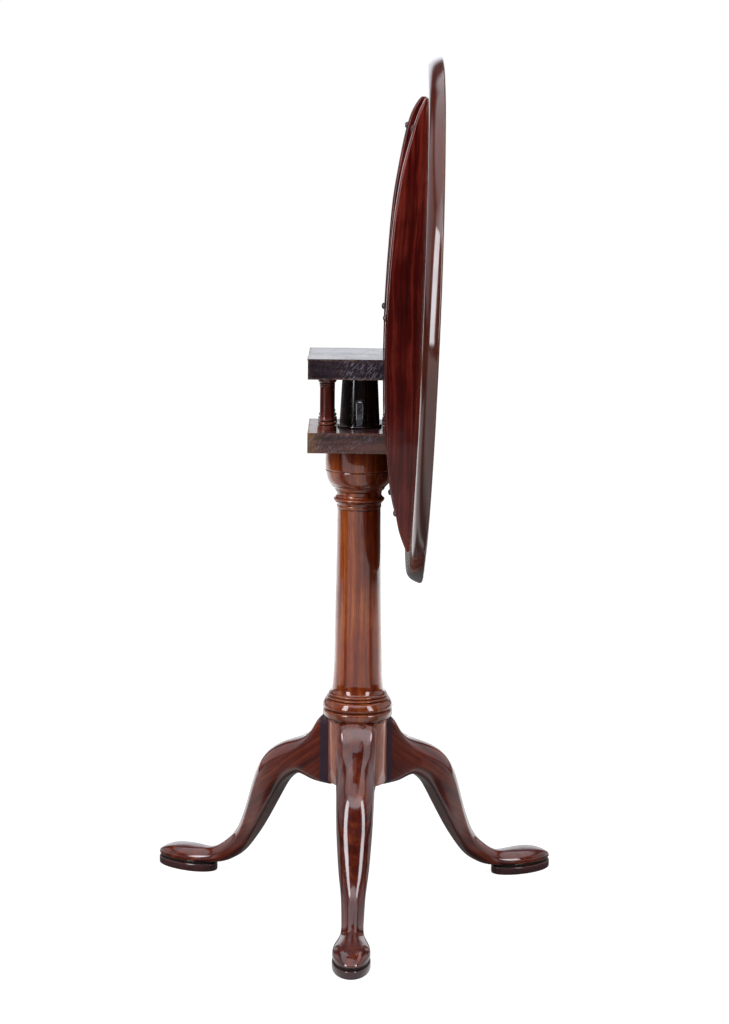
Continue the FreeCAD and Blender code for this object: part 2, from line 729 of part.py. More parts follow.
def make_colonnette(name, place):
    body = new_body(name)
    sketch = body_sketch(body, "XZ_Plane", f"{name}_turning")
    height = "Sizes.colonnette_height"
    foot = f"({BLOCK_TOP} - Sizes.tenon_length)"
    corners = [("0", foot), ("Sizes.tenon_radius", foot), ("Sizes.tenon_radius", BLOCK_TOP)]
    for share, radius in COLONNETTE_SHARES:
        corners.append((radius, f"{BLOCK_TOP} + {share} * {height}"))
    corners.append(("Sizes.tenon_radius", UPPER_BOTTOM))
    corners.append(("Sizes.tenon_radius", f"{UPPER_BOTTOM} + Sizes.tenon_length"))
    corners.append(("0", f"{UPPER_BOTTOM} + Sizes.tenon_length"))
    outline(sketch, corners)
    revolve(body, sketch, f"{name}_turned")
    bind(body, Placement__Base__x=place[0], Placement__Base__y=place[1])
    return body


# Screws
def make_screw(name, head, shank, length, placement):
    """One slotted round-head screw, its head's seat at the placement and its point along -Z."""
    section = doc.addObject("Sketcher::SketchObject", f"{name}_section")
    section.Placement = FreeCAD.Placement(Vector(0, 0, 0), FreeCAD.Rotation(Vector(1, 0, 0), 90))
    height = f"({head} * 0.65)"
    outline(
        section,
        [
            ("0", f"-({length})"),
            (shank, f"-({length}) + {shank} * 2"),
            (shank, "0"),
            (head, "0", 0.88),
            ("0", height),
        ],
    )
    turned = doc.addObject("Part::Revolution", f"{name}_turned")
    turned.Source = section
    turned.Axis = Vector(0, 0, 1)
    turned.Angle = 360
    turned.Solid = True
    slot = doc.addObject("Part::Box", f"{name}_slot")
    bind(
        slot,
        Length=f"{head} * 2",
        Width=f"{head} * 0.24",
        Height=height,
        Placement__Base__x=f"-({head})",
        Placement__Base__y=f"-({head}) * 0.12",
        Placement__Base__z=f"{height} * 0.45",
    )
    screw = doc.addObject("Part::Cut", name)
    screw.Base = turned
    screw.Tool = slot
    screw.Placement = placement
    return screw


def group(name, members):
    """Identical fasteners, kept together as one piece's file of separate solids."""
    compound = doc.addObject("Part::Compound", name)
    compound.Label = name
    compound.Links = members
    return compound


# Top, drawn level, with the hinge's axis at its own origin
def tilt(thing, along="0"):
    """Swing a piece that is drawn level about the hinge's axis to where the top stands at rest."""
    bind(
        thing,
        Placement__Base__x=f"{HINGE_X} - ({along}) * sin({LEAN})",
        Placement__Base__z=f"{HINGE_Z} - ({along}) * cos({LEAN})",
    )
    thing.Placement = FreeCAD.Placement(thing.Placement.Base, FreeCAD.Rotation(Vector(0, 1, 0), 90))
    bind(thing, Placement__Rotation__Angle=f"90 deg + {LEAN}")


def make_tabletop():
    """The round top, turned about its own axis over the pillar's."""
    body = new_body("tabletop")
    sketch = body_sketch(body, "XZ_Plane", "top_turning")
    face = f"({UNDERSIDE} + Sizes.top_thickness)"
    outline(
        sketch,
        [
            ("0", UNDERSIDE),
            ("Sizes.top_radius - Sizes.rim_round", UNDERSIDE, RIM_ARC),
            ("Sizes.top_radius", f"{face} - Sizes.rim_lip"),
            ("Sizes.top_radius", f"{face} - Sizes.rim_arris"),
            ("Sizes.top_radius - Sizes.rim_arris", face),
            ("0", face),
        ],
    )
    revolve(body, sketch, "top_turned")
    holes = body_sketch(body, "XY_Plane", "bearer_screw_holes_plan", UNDERSIDE)
    for side in (-1, 1):
        for place in BEARER_SCREWS.values():
            circle(holes, place, f"{side} * {BEARER_MIDDLE}", "Sizes.bearer_screw_shank + Sizes.fit_clearance")
    pocket(body, holes, "bearer_screw_holes", "Sizes.bearer_screw_bite + Sizes.fit_clearance", upward=True)
    small = body_sketch(body, "XY_Plane", "case_screw_holes_plan", UNDERSIDE)
    for x, y in case_screw_places():
        circle(small, f"{x} + {HINGE_X}", y, "Sizes.small_screw_shank + Sizes.fit_clearance")
    bite = "Sizes.small_screw_length - Sizes.case_plate + Sizes.fit_clearance"
    pocket(body, small, "case_screw_holes", bite, upward=True)
    tilt(body, along=f"-{HINGE_X}")
    return body


def screw_seat(place):
    """Depth from the underside to the head's seat in the bearer's bowed edge, at a place along it."""
    edge = f"(abs({place}) + Sizes.bearer_screw_head)"
    drop = f"({BEARER_ARC} - sqrt({BEARER_ARC}^2 - {edge}^2))"
    return f"(Sizes.bearer_depth - {drop} - Sizes.fit_clearance)"


def make_bearer(name, side):
    """A bow-shaped bearer on one side of the cage, with a blind hole for the pintle."""
    body = new_body(name)
    inner = f"({side} * {BEARER_INNER})"
    outer = f"({side} * ({BEARER_INNER} + Sizes.bearer_thickness))"
    middle = f"(({inner} + {outer}) / 2)"
    # The plane's normal points along -Y, so a lift is the place along Y with its sign changed
    sketch = body_sketch(body, "XZ_Plane", f"{name}_side", f"-{middle}")
    half = "(Sizes.bearer_length / 2)"
    end = f"({UNDERSIDE} - Sizes.bearer_end_depth)"
    outline(
        sketch,
        [
            (f"-{HINGE_X} + {half}", UNDERSIDE),
            (f"-{HINGE_X} - {half}", UNDERSIDE),
            (f"-{HINGE_X} - {half}", end, BEARER_ARC),
            (f"-{HINGE_X} + {half}", end),
        ],
    )
    pad(body, sketch, f"{name}_sawn", "Sizes.bearer_thickness", both_ways=True)

    hole = body_sketch(body, "XZ_Plane", f"{name}_pintle_circle", f"-{inner}")
    circle(hole, "0", "0", "Sizes.pintle_radius + Sizes.running_clearance")
    depth = "Sizes.pintle_length - Sizes.bearer_gap + Sizes.sliding_clearance"
    pocket(body, hole, f"{name}_pintle_hole", depth, upward=side < 0)

    screws = body_sketch(body, "XY_Plane", f"{name}_screw_plan", UNDERSIDE)
    for place in BEARER_SCREWS.values():
        circle(screws, f"-{HINGE_X} + {place}", middle, "Sizes.bearer_screw_shank + Sizes.fit_clearance")
    pocket(body, screws, f"{name}_screw_holes", "Sizes.bearer_depth + Sizes.overrun")

    for end_name, place in BEARER_SCREWS.items():
        lift = f"{UNDERSIDE} - {screw_seat(place)}"
        seat = body_sketch(body, "XY_Plane", f"{name}_{end_name}_seat_plan", lift)
        circle(seat, f"-{HINGE_X} + {place}", middle, "Sizes.bearer_screw_head + Sizes.fit_clearance")
        pocket(body, seat, f"{name}_{end_name}_seat", "Sizes.overrun")

    doc.recompute()
    long_edges = []
    for number, edge in enumerate(body.Shape.Edges, start=1):
        curve = edge.Curve
        long_one = edge.Length > size("Sizes.bearer_length / 2")
        if long_one and isinstance(curve, Part.Circle):
            long_edges.append(f"Edge{number}")
    sawn = body.Tip
    rounding = body.newObject("PartDesign::Fillet", f"{name}_arrises")
    rounding.Base = (sawn, long_edges)
    bind(rounding, Radius="Sizes.bearer_arris")
    tilt(body)
    return body


def level_to_tilted(x, y, z):
    """Placement of a screw that is driven up into the level top, after the top has tilted."""
    swing = FreeCAD.Placement(
        Vector(size(HINGE_X), 0, size(HINGE_Z)),
        FreeCAD.Rotation(Vector(0, 1, 0), 90 + size(LEAN)),
    )
    flip = FreeCAD.Rotation(Vector(1, 0, 0), 180)
    return swing.multiply(FreeCAD.Placement(Vector(size(x), size(y), size(z)), flip))


def make_bearer_screws(name, side):
    screws = []
    for label, place in BEARER_SCREWS.items():
        seat = f"{UNDERSIDE} - {screw_seat(place)}"
        where = level_to_tilted(f"-{HINGE_X} + {place}", f"{side} * {BEARER_MIDDLE}", seat)
        length = f"{screw_seat(place)} + Sizes.bearer_screw_bite"
        screws.append(
            make_screw(f"{name}_{label}", "Sizes.bearer_screw_head", "Sizes.bearer_screw_shank", length, where)
        )
    return group(name, screws)


# Catch, drawn level with the top
def case_screw_places():
    """The four screws of the case, from the hinge's axis, the top level."""
    inset = "(Sizes.small_screw_head + Sizes.case_wall)"
    places = []
    for end in (f"({CASE_START} - {inset})", f"({CASE_END} + {inset})"):
        for side in (-1, 1):
            places.append((end, f"{side} * (Sizes.case_width / 2 - {inset})"))
    return places


def make_catch_case():
    """The cast brass case: a plate under the top and a raised box that the bolt runs in."""
    body = new_body("catch_case")
    plate = body_sketch(body, "XY_Plane", "case_plate_plan", f"{UNDERSIDE} - Sizes.case_plate")
    half = "(Sizes.case_width / 2)"
    outline(plate, box_corners(CASE_END, CASE_START, f"-{half}", half))
    for x, y in case_screw_places():
        circle(plate, x, y, "Sizes.small_screw_shank + Sizes.fit_clearance")
    pad(body, plate, "case_plate_cast", "Sizes.case_plate")

    box = body_sketch(body, "XY_Plane", "case_box_plan", f"{UNDERSIDE} - Sizes.case_plate")
    reach = "(Sizes.bolt_width / 2 + Sizes.sliding_clearance + Sizes.case_wall)"
    outline(box, box_corners(CASE_END, CASE_START, f"-{reach}", reach))
    raised = pad(
        body,
        box,
        "case_box_cast",
        "Sizes.bolt_standoff + Sizes.bolt_thickness + Sizes.sliding_clearance + Sizes.case_wall",
    )
    raised.Reversed = True

    channel = body_sketch(body, "YZ_Plane", "case_channel_end", CASE_START)
    side = "(Sizes.bolt_width / 2 + Sizes.sliding_clearance)"
    low = f"({BOLT_BOTTOM} - Sizes.sliding_clearance)"
    high = f"({BOLT_TOP} + Sizes.sliding_clearance)"
    outline(channel, box_corners(f"-{side}", side, low, high))
    pocket(body, channel, "case_channel", "Sizes.case_length")

    slot = body_sketch(body, "XY_Plane", "case_slot_plan", BOLT_BOTTOM)
    gap = "(Sizes.knob_stem_radius + Sizes.sliding_clearance)"
    start = f"({KNOB_PLACE} - {gap})"
    end = f"({KNOB_PLACE} + Sizes.bolt_travel + {gap})"
    outline(slot, box_corners(start, end, f"-{gap}", gap))
    pocket(body, slot, "case_slot", "Sizes.overrun")
    tilt(body)
    return body


def make_catch_bolt():
    body = new_body("catch_bolt")
    sketch = body_sketch(body, "XY_Plane", "bolt_plan", BOLT_BOTTOM)
    half = "(Sizes.bolt_width / 2)"
    outline(sketch, box_corners(f"{BOLT_NOSE} - Sizes.bolt_length", BOLT_NOSE, f"-{half}", half))
    circle(sketch, KNOB_PLACE, "0", "Sizes.knob_stem_radius + Sizes.running_clearance")
    pad(body, sketch, "bolt_bar", "Sizes.bolt_thickness")
    tilt(body)
    return body


def make_catch_knob():
    """The turned knob, riveted through the bolt."""
    body = new_body("catch_knob")
    sketch = body_sketch(body, "XZ_Plane", "knob_turning")
    neck = f"({BOLT_BOTTOM} - Sizes.sliding_clearance * 2 - Sizes.case_wall)"
    outline(
        sketch,
        [
            ("0", f"{neck} - Sizes.knob_height"),
            ("Sizes.knob_radius * 0.6", f"{neck} - Sizes.knob_height", 0.6),
            ("Sizes.knob_radius * 0.7", f"{neck} - Sizes.knob_height * 0.2"),
            ("Sizes.knob_stem_radius", f"{neck} - Sizes.sliding_clearance"),
            ("Sizes.knob_stem_radius", BOLT_TOP),
            ("0", BOLT_TOP),
        ],
    )
    revolve(body, sketch, "knob_turned")
    tilt(body, along=KNOB_PLACE)
    return body


def make_catch_screws():
    seat = f"{UNDERSIDE} - Sizes.case_plate"
    screws = []
    for number, (x, y) in enumerate(case_screw_places(), start=1):
        where = level_to_tilted(x, y, seat)
        screws.append(
            make_screw(
                f"catch_screw_{number}",
                "Sizes.small_screw_head",
                "Sizes.small_screw_shank",
                "Sizes.small_screw_length",
                where,
            )
        )
    return group("catch_screws", screws)


def make_keeper_screws():
    screws = []
    for number, side in enumerate((-1, 1), start=1):
        seat = Vector(size(f"-{HALF_BLOCK}"), size(keeper_screw_y(side)), size(keeper_middle()))
        where = FreeCAD.Placement(seat, FreeCAD.Rotation(Vector(0, 1, 0), -90))
        screws.append(
            make_screw(
                f"keeper_screw_{number}",
                "Sizes.small_screw_head",
                "Sizes.small_screw_shank",
                "Sizes.small_screw_length",
                where,
            )
        )
    return group("keeper_screws", screws)


def make_all():
    """Every piece of the table, in the order in which it goes together."""
    pieces = [make_pillar()]
    shouldered, tongue = make_leg_parts()
    for name, angle in LEG_ANGLES.items():
        pieces.append(make_leg(name, angle, shouldered, tongue))
    pieces += [make_collar_ring(), make_wedge(), make_lower_block(), make_upper_block()]
    for name, place in colonnette_places().items():
        pieces.append(make_colonnette(name, place))
    pieces += [make_keeper_plate(), make_keeper_screws(), make_tabletop()]
    for side, end in ((-1, "near"), (1, "far")):
        pieces.append(make_bearer(f"bearer_{end}", side))
        pieces.append(make_bearer_screws(f"bearer_screws_{end}", side))
    pieces += [make_catch_case(), make_catch_screws(), make_catch_bolt(), make_catch_knob()]
    return pieces


def check(pieces):
    """Stop if any object failed or any piece is not a sound solid."""
    for thing in doc.Objects:
        if any(word in thing.State for word in ("Invalid", "Error")):
            raise RuntimeError(f"{thing.Name} failed: {thing.State}")
    for piece in pieces:
        shape = piece.Shape
        if shape.isNull() or not shape.isValid() or not shape.Solids:
            raise RuntimeError(f"{piece.Label} is not a sound solid")


PIECES = make_all()
doc.recompute()
check(PIECES)
os.makedirs("parts", exist_ok=True)
for piece in PIECES:
    piece.Shape.exportStep(f"parts/{piece.Label}.step")
    box = piece.Shape.optimalBoundingBox(False)
    print(f"{piece.Label}: {len(piece.Shape.Solids)} solids, {piece.Shape.Volume / 1000:.1f} cm3, "
          f"x {box.XMin:.1f} {box.XMax:.1f}, y {box.YMin:.1f} {box.YMax:.1f}, z {box.ZMin:.1f} {box.ZMax:.1f}")
print(f"hinge at x {size(HINGE_X):.3f}, z {size(HINGE_Z):.3f}, leaning {size(LEAN):.4f} degrees past upright")
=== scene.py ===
import math

import bmesh
import bpy
import numpy as np
from mathutils import Matrix, Vector, noise


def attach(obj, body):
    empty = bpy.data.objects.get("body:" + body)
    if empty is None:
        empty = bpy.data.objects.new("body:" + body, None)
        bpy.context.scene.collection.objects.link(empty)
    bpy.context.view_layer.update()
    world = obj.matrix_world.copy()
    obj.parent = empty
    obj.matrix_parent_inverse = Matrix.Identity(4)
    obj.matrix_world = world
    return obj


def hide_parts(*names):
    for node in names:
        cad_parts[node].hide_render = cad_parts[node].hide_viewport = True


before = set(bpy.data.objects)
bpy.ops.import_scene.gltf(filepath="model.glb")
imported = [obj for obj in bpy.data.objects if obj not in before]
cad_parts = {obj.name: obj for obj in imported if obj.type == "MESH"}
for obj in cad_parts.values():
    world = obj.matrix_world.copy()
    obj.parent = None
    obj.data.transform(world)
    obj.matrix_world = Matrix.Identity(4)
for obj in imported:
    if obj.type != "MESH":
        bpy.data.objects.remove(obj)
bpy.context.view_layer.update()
MM = 0.001

# The pillar's drum, shoulder, spigot and slot
BASE_BOTTOM = 156.0
BASE_RADIUS = 40.0
BASE_ARRIS = 1.2
DRUM_RADIUS = 37.6
DRUM_TOP = 236.0
SHAFT_RADIUS = 30.5
SCORE_RADIUS = 41.5
SHOULDER = 584.6
FACET_DEPTH = 2.0
FACET_HEIGHT = 20.0
FACET_ANGLES = (90, 210, 330)
JOURNAL_RADIUS = 25.0
RING_BOTTOM = 609.9
RING_TOP = 612.9
RING_RADIUS = 26.8
SPIGOT_FOOT = 582.6
SPIGOT_TOP = 674.6
SPIGOT_TOP_RADIUS = 21.8
SLOT_BOTTOM = 607.8
SLOT_TOP = 643.0
SLOT_MOUTH_TOP = 644.8
SLOT_WIDTH = 7.9
SLOT_MOUTH_WIDTH = 10.5
SLOT_MOUTH_DEPTH = 20.0
SLOT_REACH = 40.0
SLOT_CORNER = 3.5
FLAT_DEPTH = 0.8
FLAT_END_SHARE = 0.95
PILLAR_LEAN = 0.005
LEAN_TOP = 600.0

# Mouldings, as shares: up from a moulding's foot to its top, and out from its smaller
# radius to its larger. A single pair is a crease.
CREASE_SHARES = [(0.0, 0.0)]
BAND_SHARES = [(0.0, 0.3), (0.12, 0.66), (0.3, 0.88), (0.6, 0.98), (0.9, 0.97), (1.0, 0.85)]
RING_SHARES = [(0.0, 0.0), (0.14, 0.62), (0.34, 0.94), (0.5, 1.0), (0.66, 0.94), (0.86, 0.62), (1.0, 0.0)]
TORUS_SHARES = [
    (0.0, 0.62), (0.05, 0.86), (0.2, 1.0), (0.41, 0.93), (0.59, 0.78), (0.77, 0.56), (0.95, 0.25),
    (1.0, 0.0),
]
FLARE_SHARES = [
    (0.0, 1.0), (0.062, 0.72), (0.152, 0.52), (0.241, 0.39), (0.33, 0.31), (0.51, 0.18), (0.69, 0.1),
    (1.0, 0.0),
]
SHAFT_SHARES = [
    (0.0, 1.0), (0.052, 0.87), (0.117, 0.75), (0.25, 0.63), (0.51, 0.38), (0.775, 0.17), (1.0, 0.0),
]
NECK_SHARES = [
    [(0.0, 0.11), (0.14, 0.11)],
    [(0.17, 0.0)],
    [(0.22, 0.16), (0.34, 0.41), (0.4, 0.77)],
    [(0.43, 0.57)],
    [
        (0.455, 0.84), (0.5, 1.0), (0.57, 0.89), (0.63, 0.55), (0.69, 0.3), (0.74, 0.2), (0.88, 0.2),
        (1.0, 0.3),
    ],
]
BOWL_SHARES = [(0.0, 0.0), (0.086, 0.07), (0.225, 0.34), (0.397, 0.64), (0.68, 0.87), (1.0, 1.0)]
CUP_SHARES = [(0.0, 1.0), (0.33, 1.0), (0.64, 0.8), (1.0, 0.5)]
# The pillar's mouldings from its drum up: shares, bottom, top, smaller radius, larger radius and step
PILLAR_MOULDINGS = [
    (CREASE_SHARES, 237.2, 237.2, 36.8, 36.8, 0.7),
    (CREASE_SHARES, 239.4, 239.4, 36.8, 36.8, 0.7),
    (BAND_SHARES, 240.6, 250.6, BASE_RADIUS, 43.6, 0.7),
    (CREASE_SHARES, 252.0, 252.0, 40.4, 40.4, 0.7),
    (TORUS_SHARES, 253.4, 264.4, 39.6, 43.9, 0.7),
    (RING_SHARES, 265.2, 268.5, 36.6, 38.8, 0.3),
    (RING_SHARES, 269.0, 272.3, 34.9, 36.7, 0.3),
    (FLARE_SHARES, 272.6, 295.0, SHAFT_RADIUS, 34.4, 0.7),
    (SHAFT_SHARES, 295.0, 508.0, 27.0, SHAFT_RADIUS, 2.0),
    *((shares, 508.8, 529.6, 27.3, 31.8, 0.4) for shares in NECK_SHARES),
    (BOWL_SHARES, 531.8, 555.6, 31.5, 42.1, 0.7),
    (CREASE_SHARES, 556.8, 556.8, SCORE_RADIUS, SCORE_RADIUS, 0.7),
    (CUP_SHARES, 557.8, 584.0, SCORE_RADIUS, 42.5, 1.5),
]

# Legs: stations along a leg, each with its upper and its lower edge. The shares are of the way out
# from the pillar, of the height over the pad, again for the lower edge, of the leg's width, and of
# the section's smaller side for its rounded corners.
LEG_ANGLES = {"leg_front": -91.0, "leg_right": 30.0, "leg_left": 150.0}
LEG_SHIFTS = {"leg_front": 1.4, "leg_right": -0.2, "leg_left": 0.6}
FOOT_REACH = 255.0
LEG_TOP = 236.0
LEG_BOTTOM = 152.0
LEG_WIDTH = 49.0
PAD_LENGTH = 87.0
PAD_WIDTH = 46.0
PAD_THICKNESS = 10.7
PAD_GROOVE = 2.0
PAD_GROOVE_HEIGHT = 3.4
LEG_STATION_SHARES = [
    (-0.07, 1.026, -0.07, 1.0, 1.0, 0.1),
    (0.014, 1.02, 0.014, 1.004, 1.0, 0.12),
    (0.056, 0.966, 0.07, 1.012, 0.99, 0.16),
    (0.14, 0.88, 0.15, 1.04, 0.98, 0.2),
    (0.279, 0.818, 0.224, 1.0, 0.97, 0.28),
    (0.402, 0.747, 0.292, 0.919, 0.95, 0.25),
    (0.485, 0.625, 0.356, 0.771, 0.91, 0.22),
    (0.536, 0.478, 0.421, 0.592, 0.83, 0.2),
    (0.586, 0.34, 0.482, 0.426, 0.73, 0.2),
    (0.648, 0.226, 0.547, 0.269, 0.61, 0.23),
    (0.734, 0.144, 0.625, 0.13, 0.56, 0.33),
    (0.816, 0.098, 0.738, 0.042, 0.58, 0.42),
    (0.9, 0.084, 0.85, 0.026, 0.78, 0.62),
    (1.0, 0.08, 0.985, 0.025, 0.925, 0.72),
    (1.09, 0.073, 1.085, 0.025, 0.83, 0.72),
    (1.15, 0.058, 1.148, 0.025, 0.61, 0.7),
    (1.185, 0.039, 1.184, 0.025, 0.36, 0.6),
    (1.197, 0.029, 1.197, 0.025, 0.18, 0.5),
]
# Along the leg, by shares of its reach: how far its top is crowned, how full its sides and how
# flat its sole are.
LEG_FORM = [
    (-0.03, 7.0, 0.0, 0.0), (0.2, 8.0, 0.03, 0.0), (0.4, 8.8, 0.06, 0.0), (0.55, 8.2, 0.08, 0.0),
    (0.65, 6.8, 0.08, 0.0), (0.75, 5.8, 0.08, 0.0), (0.84, 4.6, 0.05, 0.3), (0.95, 3.0, 0.0, 0.9),
    (1.2, 1.0, 0.0, 0.9),
]
# Points on each rounded corner of a leg's section, and on each side between two corners
CORNER_POINTS = 9
SIDE_POINTS = 7

# Cage
BLOCK_HALF = 63.5
LOWER_BLOCK_TOP = 609.8
LOWER_BLOCK_BOTTOM = 584.8
UPPER_BLOCK_BOTTOM = 675.0
UPPER_BLOCK_TOP = 700.0
COLONNETTE_PLACES = [(x, y, LOWER_BLOCK_TOP) for x in (-40.0, 40.0) for y in (-40.0, 40.0)]
COLONNETTE_RADIUS = 11.8
COLONNETTE_SHARES = [
    (0.0, 1.0), (0.095, 1.0), (0.108, 0.82), (0.12, 0.925), (0.142, 0.95), (0.165, 0.925),
    (0.18, 0.77), (0.197, 0.81), (0.217, 0.83), (0.238, 0.8), (0.262, 0.765), (0.5, 0.76),
    (0.838, 0.76), (0.85, 0.82), (0.864, 0.765), (0.882, 0.82), (0.898, 0.78), (0.915, 0.86),
    (0.94, 0.95), (1.0, 0.98),
]

# Top and bearers, level, with the hinge's axis at the origin
HINGE = Vector((53.8, 0.0, 687.5))
LEAN = math.radians(91.5644)
UNDERSIDE = 12.8
TOP_RADIUS = 321.7
TOP_THICKNESS = 19.0
RIM_ROUND = 14.2
UNDER_RINGS = 44
FACE_RINGS = 46
# The rim's section: in from the edge as shares of its rounding, and up from the underside
# as shares of the thickness.
RIM_SHARES = [
    (1.0, 0.0), (0.845, 0.012), (0.697, 0.05), (0.558, 0.113), (0.432, 0.195), (0.323, 0.295), (0.213, 0.43),
    (0.111, 0.595), (0.028, 0.76), (0.0, 0.88), (0.03, 0.94), (0.11, 0.985), (0.22, 1.0),
]
BEARER_LENGTH = 544.0
BEARER_DEPTH = 39.0
BEARER_INNER = 64.3
BEARER_THICKNESS = 25.0
BEARER_ARRIS = 3.2
BEARER_SIDE_POINTS = 7
BEARER_STATIONS = 160
BEARER_SCREW_SHARES = (-0.868, -0.037, 0.835)
# The bow of each bearer, as shares of half its length from the middle and of its depth
BOW_SHARES = {
    "near": [
        (0.0, 1.0), (0.21, 0.962), (0.385, 0.905), (0.47, 0.867), (0.56, 0.8), (0.65, 0.718), (0.775, 0.545),
        (0.857, 0.408), (0.905, 0.33), (0.947, 0.228), (0.969, 0.165), (0.983, 0.12), (0.993, 0.085),
        (1.0, 0.06),
    ],
    "far": [
        (0.0, 1.0), (0.21, 0.975), (0.345, 0.938), (0.436, 0.908), (0.527, 0.865), (0.62, 0.79), (0.71, 0.7),
        (0.8, 0.6), (0.892, 0.46), (0.938, 0.35), (0.961, 0.27), (0.983, 0.18), (0.995, 0.11), (1.0, 0.07),
    ],
}
PINTLE_RADIUS = 8.08
PINTLE_DEPTH = 12.5
SCREW_HEAD = 4.2
SCREW_HEIGHT = 3.4
SMALL_SCREW_HEAD = 2.6
SMALL_SCREW_HEIGHT = 1.7
CASE_SCREW_PLACES = [(x, y, 10.8) for x in (-128.7, -159.9) for y in (-13.6, 13.6)]
KEEPER_SCREW_PLACES = [(-BLOCK_HALF, y, 693.3) for y in (-12.0, 12.0)]
KNOB_X = -149.3
KNOB_TOP = 0.9
KNOB_HEIGHT = 10.0
KNOB_RADIUS = 5.6
KNOB_SHARES = [
    (0.0, 0.0), (0.0, 0.42), (0.06, 0.42), (0.09, 0.6), (0.14, 0.69), (0.3, 0.92), (0.5, 1.0),
    (0.7, 0.95), (0.86, 0.76), (0.95, 0.48), (0.99, 0.2), (1.0, 0.0),
]
TILTED = Matrix.Translation(HINGE) @ Matrix.Rotation(LEAN, 4, "Y")


# Lines and meshes
def spline(points, step):
    """A smooth line through the points, a natural cubic along its chords, sampled about every step."""
    points = np.array(points, float)
    if len(points) < 3:
        return points
    chord = np.concatenate([[0], np.cumsum(np.linalg.norm(np.diff(points, axis=0), axis=1))])
    gaps = np.diff(chord)
    matrix = np.eye(len(points))
    side = np.zeros_like(points)
    for number in range(1, len(points) - 1):
        before, after = gaps[number - 1], gaps[number]
        matrix[number, number - 1:number + 2] = before, 2 * (before + after), after
        side[number] = 6 * (
            (points[number + 1] - points[number]) / after - (points[number] - points[number - 1]) / before
        )
    bend = np.linalg.solve(matrix, side)
    places = np.linspace(0, chord[-1], max(3, round(chord[-1] / step) + 1))
    index = np.clip(np.searchsorted(chord, places, side="right") - 1, 0, len(points) - 2)
    near = ((chord[index + 1] - places) / gaps[index])[:, None]
    far = 1 - near
    gap = gaps[index][:, None]
    curve = ((near**3 - near) * bend[index] + (far**3 - far) * bend[index + 1]) * gap**2 / 6
    return near * points[index] + far * points[index + 1] + curve


def moulding(shares, bottom, top, inner, outer, step):
    """Outline of (radius, height) pairs from a moulding's shares."""
    return spline([(inner + out * (outer - inner), bottom + up * (top - bottom)) for up, out in shares], step)


SMOOTH_TURN = math.radians(22)
CORNER_ROOM = 2.2


def eased_corners(points, radius):
    """The outline with a small flat and two softer turns in place of each sharp corner."""
    eased = [points[0]]
    for before, corner, after in zip(points, points[1:], points[2:]):
        way_in, way_out = corner - before, after - corner
        length_in, length_out = np.linalg.norm(way_in), np.linalg.norm(way_out)
        if min(length_in, length_out) < radius / 4:
            eased.append(corner)
            continue
        if np.dot(way_in, way_out) / length_in / length_out > math.cos(SMOOTH_TURN):
            eased.append(corner)
            continue
        cut = min(radius, length_in / CORNER_ROOM, length_out / CORNER_ROOM)
        first = corner - way_in / length_in * cut
        last = corner + way_out / length_out * cut
        eased += [first, (first + last) / 4 + corner / 2, last]
    return np.array(eased + [points[-1]])


def as_mesh(name, points, faces):
    mesh = bpy.data.meshes.new(name)
    mesh.from_pydata([tuple(map(float, point)) for point in points], [], faces)
    outward(mesh)
    return mesh


def outward(mesh):
    """Merge doubles and turn every face outwards."""
    work = bmesh.new()
    work.from_mesh(mesh)
    bmesh.ops.remove_doubles(work, verts=work.verts, dist=0.0005)
    bmesh.ops.recalc_face_normals(work, faces=work.faces)
    work.to_mesh(mesh)
    work.free()


def joined_rings(rings, faces):
    """Quads between rings of the same number of points; a ring of one point is a pole."""
    for low, high in zip(rings, rings[1:]):
        count = max(len(low), len(high))
        for number in range(count):
            following = (number + 1) % count
            if len(low) == 1:
                faces.append((low[0], high[following], high[number]))
            elif len(high) == 1:
                faces.append((low[number], low[following], high[0]))
            else:
                faces.append((low[number], low[following], high[following], high[number]))


def turned(name, outline, segments, trim=None):
    """Turn an outline of (radius, height) pairs about the Z axis; trim cuts back each ring."""
    angles = np.linspace(0, 2 * math.pi, segments, endpoint=False)
    points, rings, faces = [], [], []
    for radius, height in outline:
        if radius < 1e-6:
            rings.append([len(points)])
            points.append((0, 0, height))
            continue
        reach = np.full(segments, radius)
        if trim:
            reach = trim(angles, reach, height)
        rings.append(list(range(len(points), len(points) + segments)))
        points += list(zip(reach * np.cos(angles), reach * np.sin(angles), np.full(segments, height)))
    joined_rings(rings, faces)
    return as_mesh(name, points, faces)


def ringed(name, rings_of_points):
    """A closed bar through rings of the same number of points, its ends capped."""
    count = len(rings_of_points[0])
    points = [point for ring in rings_of_points for point in ring]
    rings = [list(range(number * count, (number + 1) * count)) for number in range(len(rings_of_points))]
    faces = [tuple(reversed(rings[0])), tuple(rings[-1])]
    joined_rings(rings, faces)
    return as_mesh(name, points, faces)


def block(name, low, high):
    """A rectangular cutter between two corners."""
    points = [(x, y, z) for x in (low[0], high[0]) for y in (low[1], high[1]) for z in (low[2], high[2])]
    faces = [(0, 1, 3, 2), (4, 6, 7, 5), (0, 4, 5, 1), (2, 3, 7, 6), (0, 2, 6, 4), (1, 5, 7, 3)]
    return as_mesh(name, points, faces)


def rod(name, radius, low, high, place, segments=48):
    """A round cutter along Z between two heights."""
    mesh = turned(name, [(0, low), (radius, low), (radius, high), (0, high)], segments)
    mesh.transform(Matrix.Translation(place))
    return mesh


def placed(name, mesh):
    thing = bpy.data.objects.new(name, mesh)
    bpy.context.scene.collection.objects.link(thing)
    return thing


def settled(thing):
    """The mesh that an object's modifiers make, with the object itself taken away."""
    graph = bpy.context.evaluated_depsgraph_get()
    whole = thing.evaluated_get(graph)
    mesh = bpy.data.meshes.new_from_object(whole, preserve_all_data_layers=True, depsgraph=graph)
    bpy.data.objects.remove(thing)
    return mesh


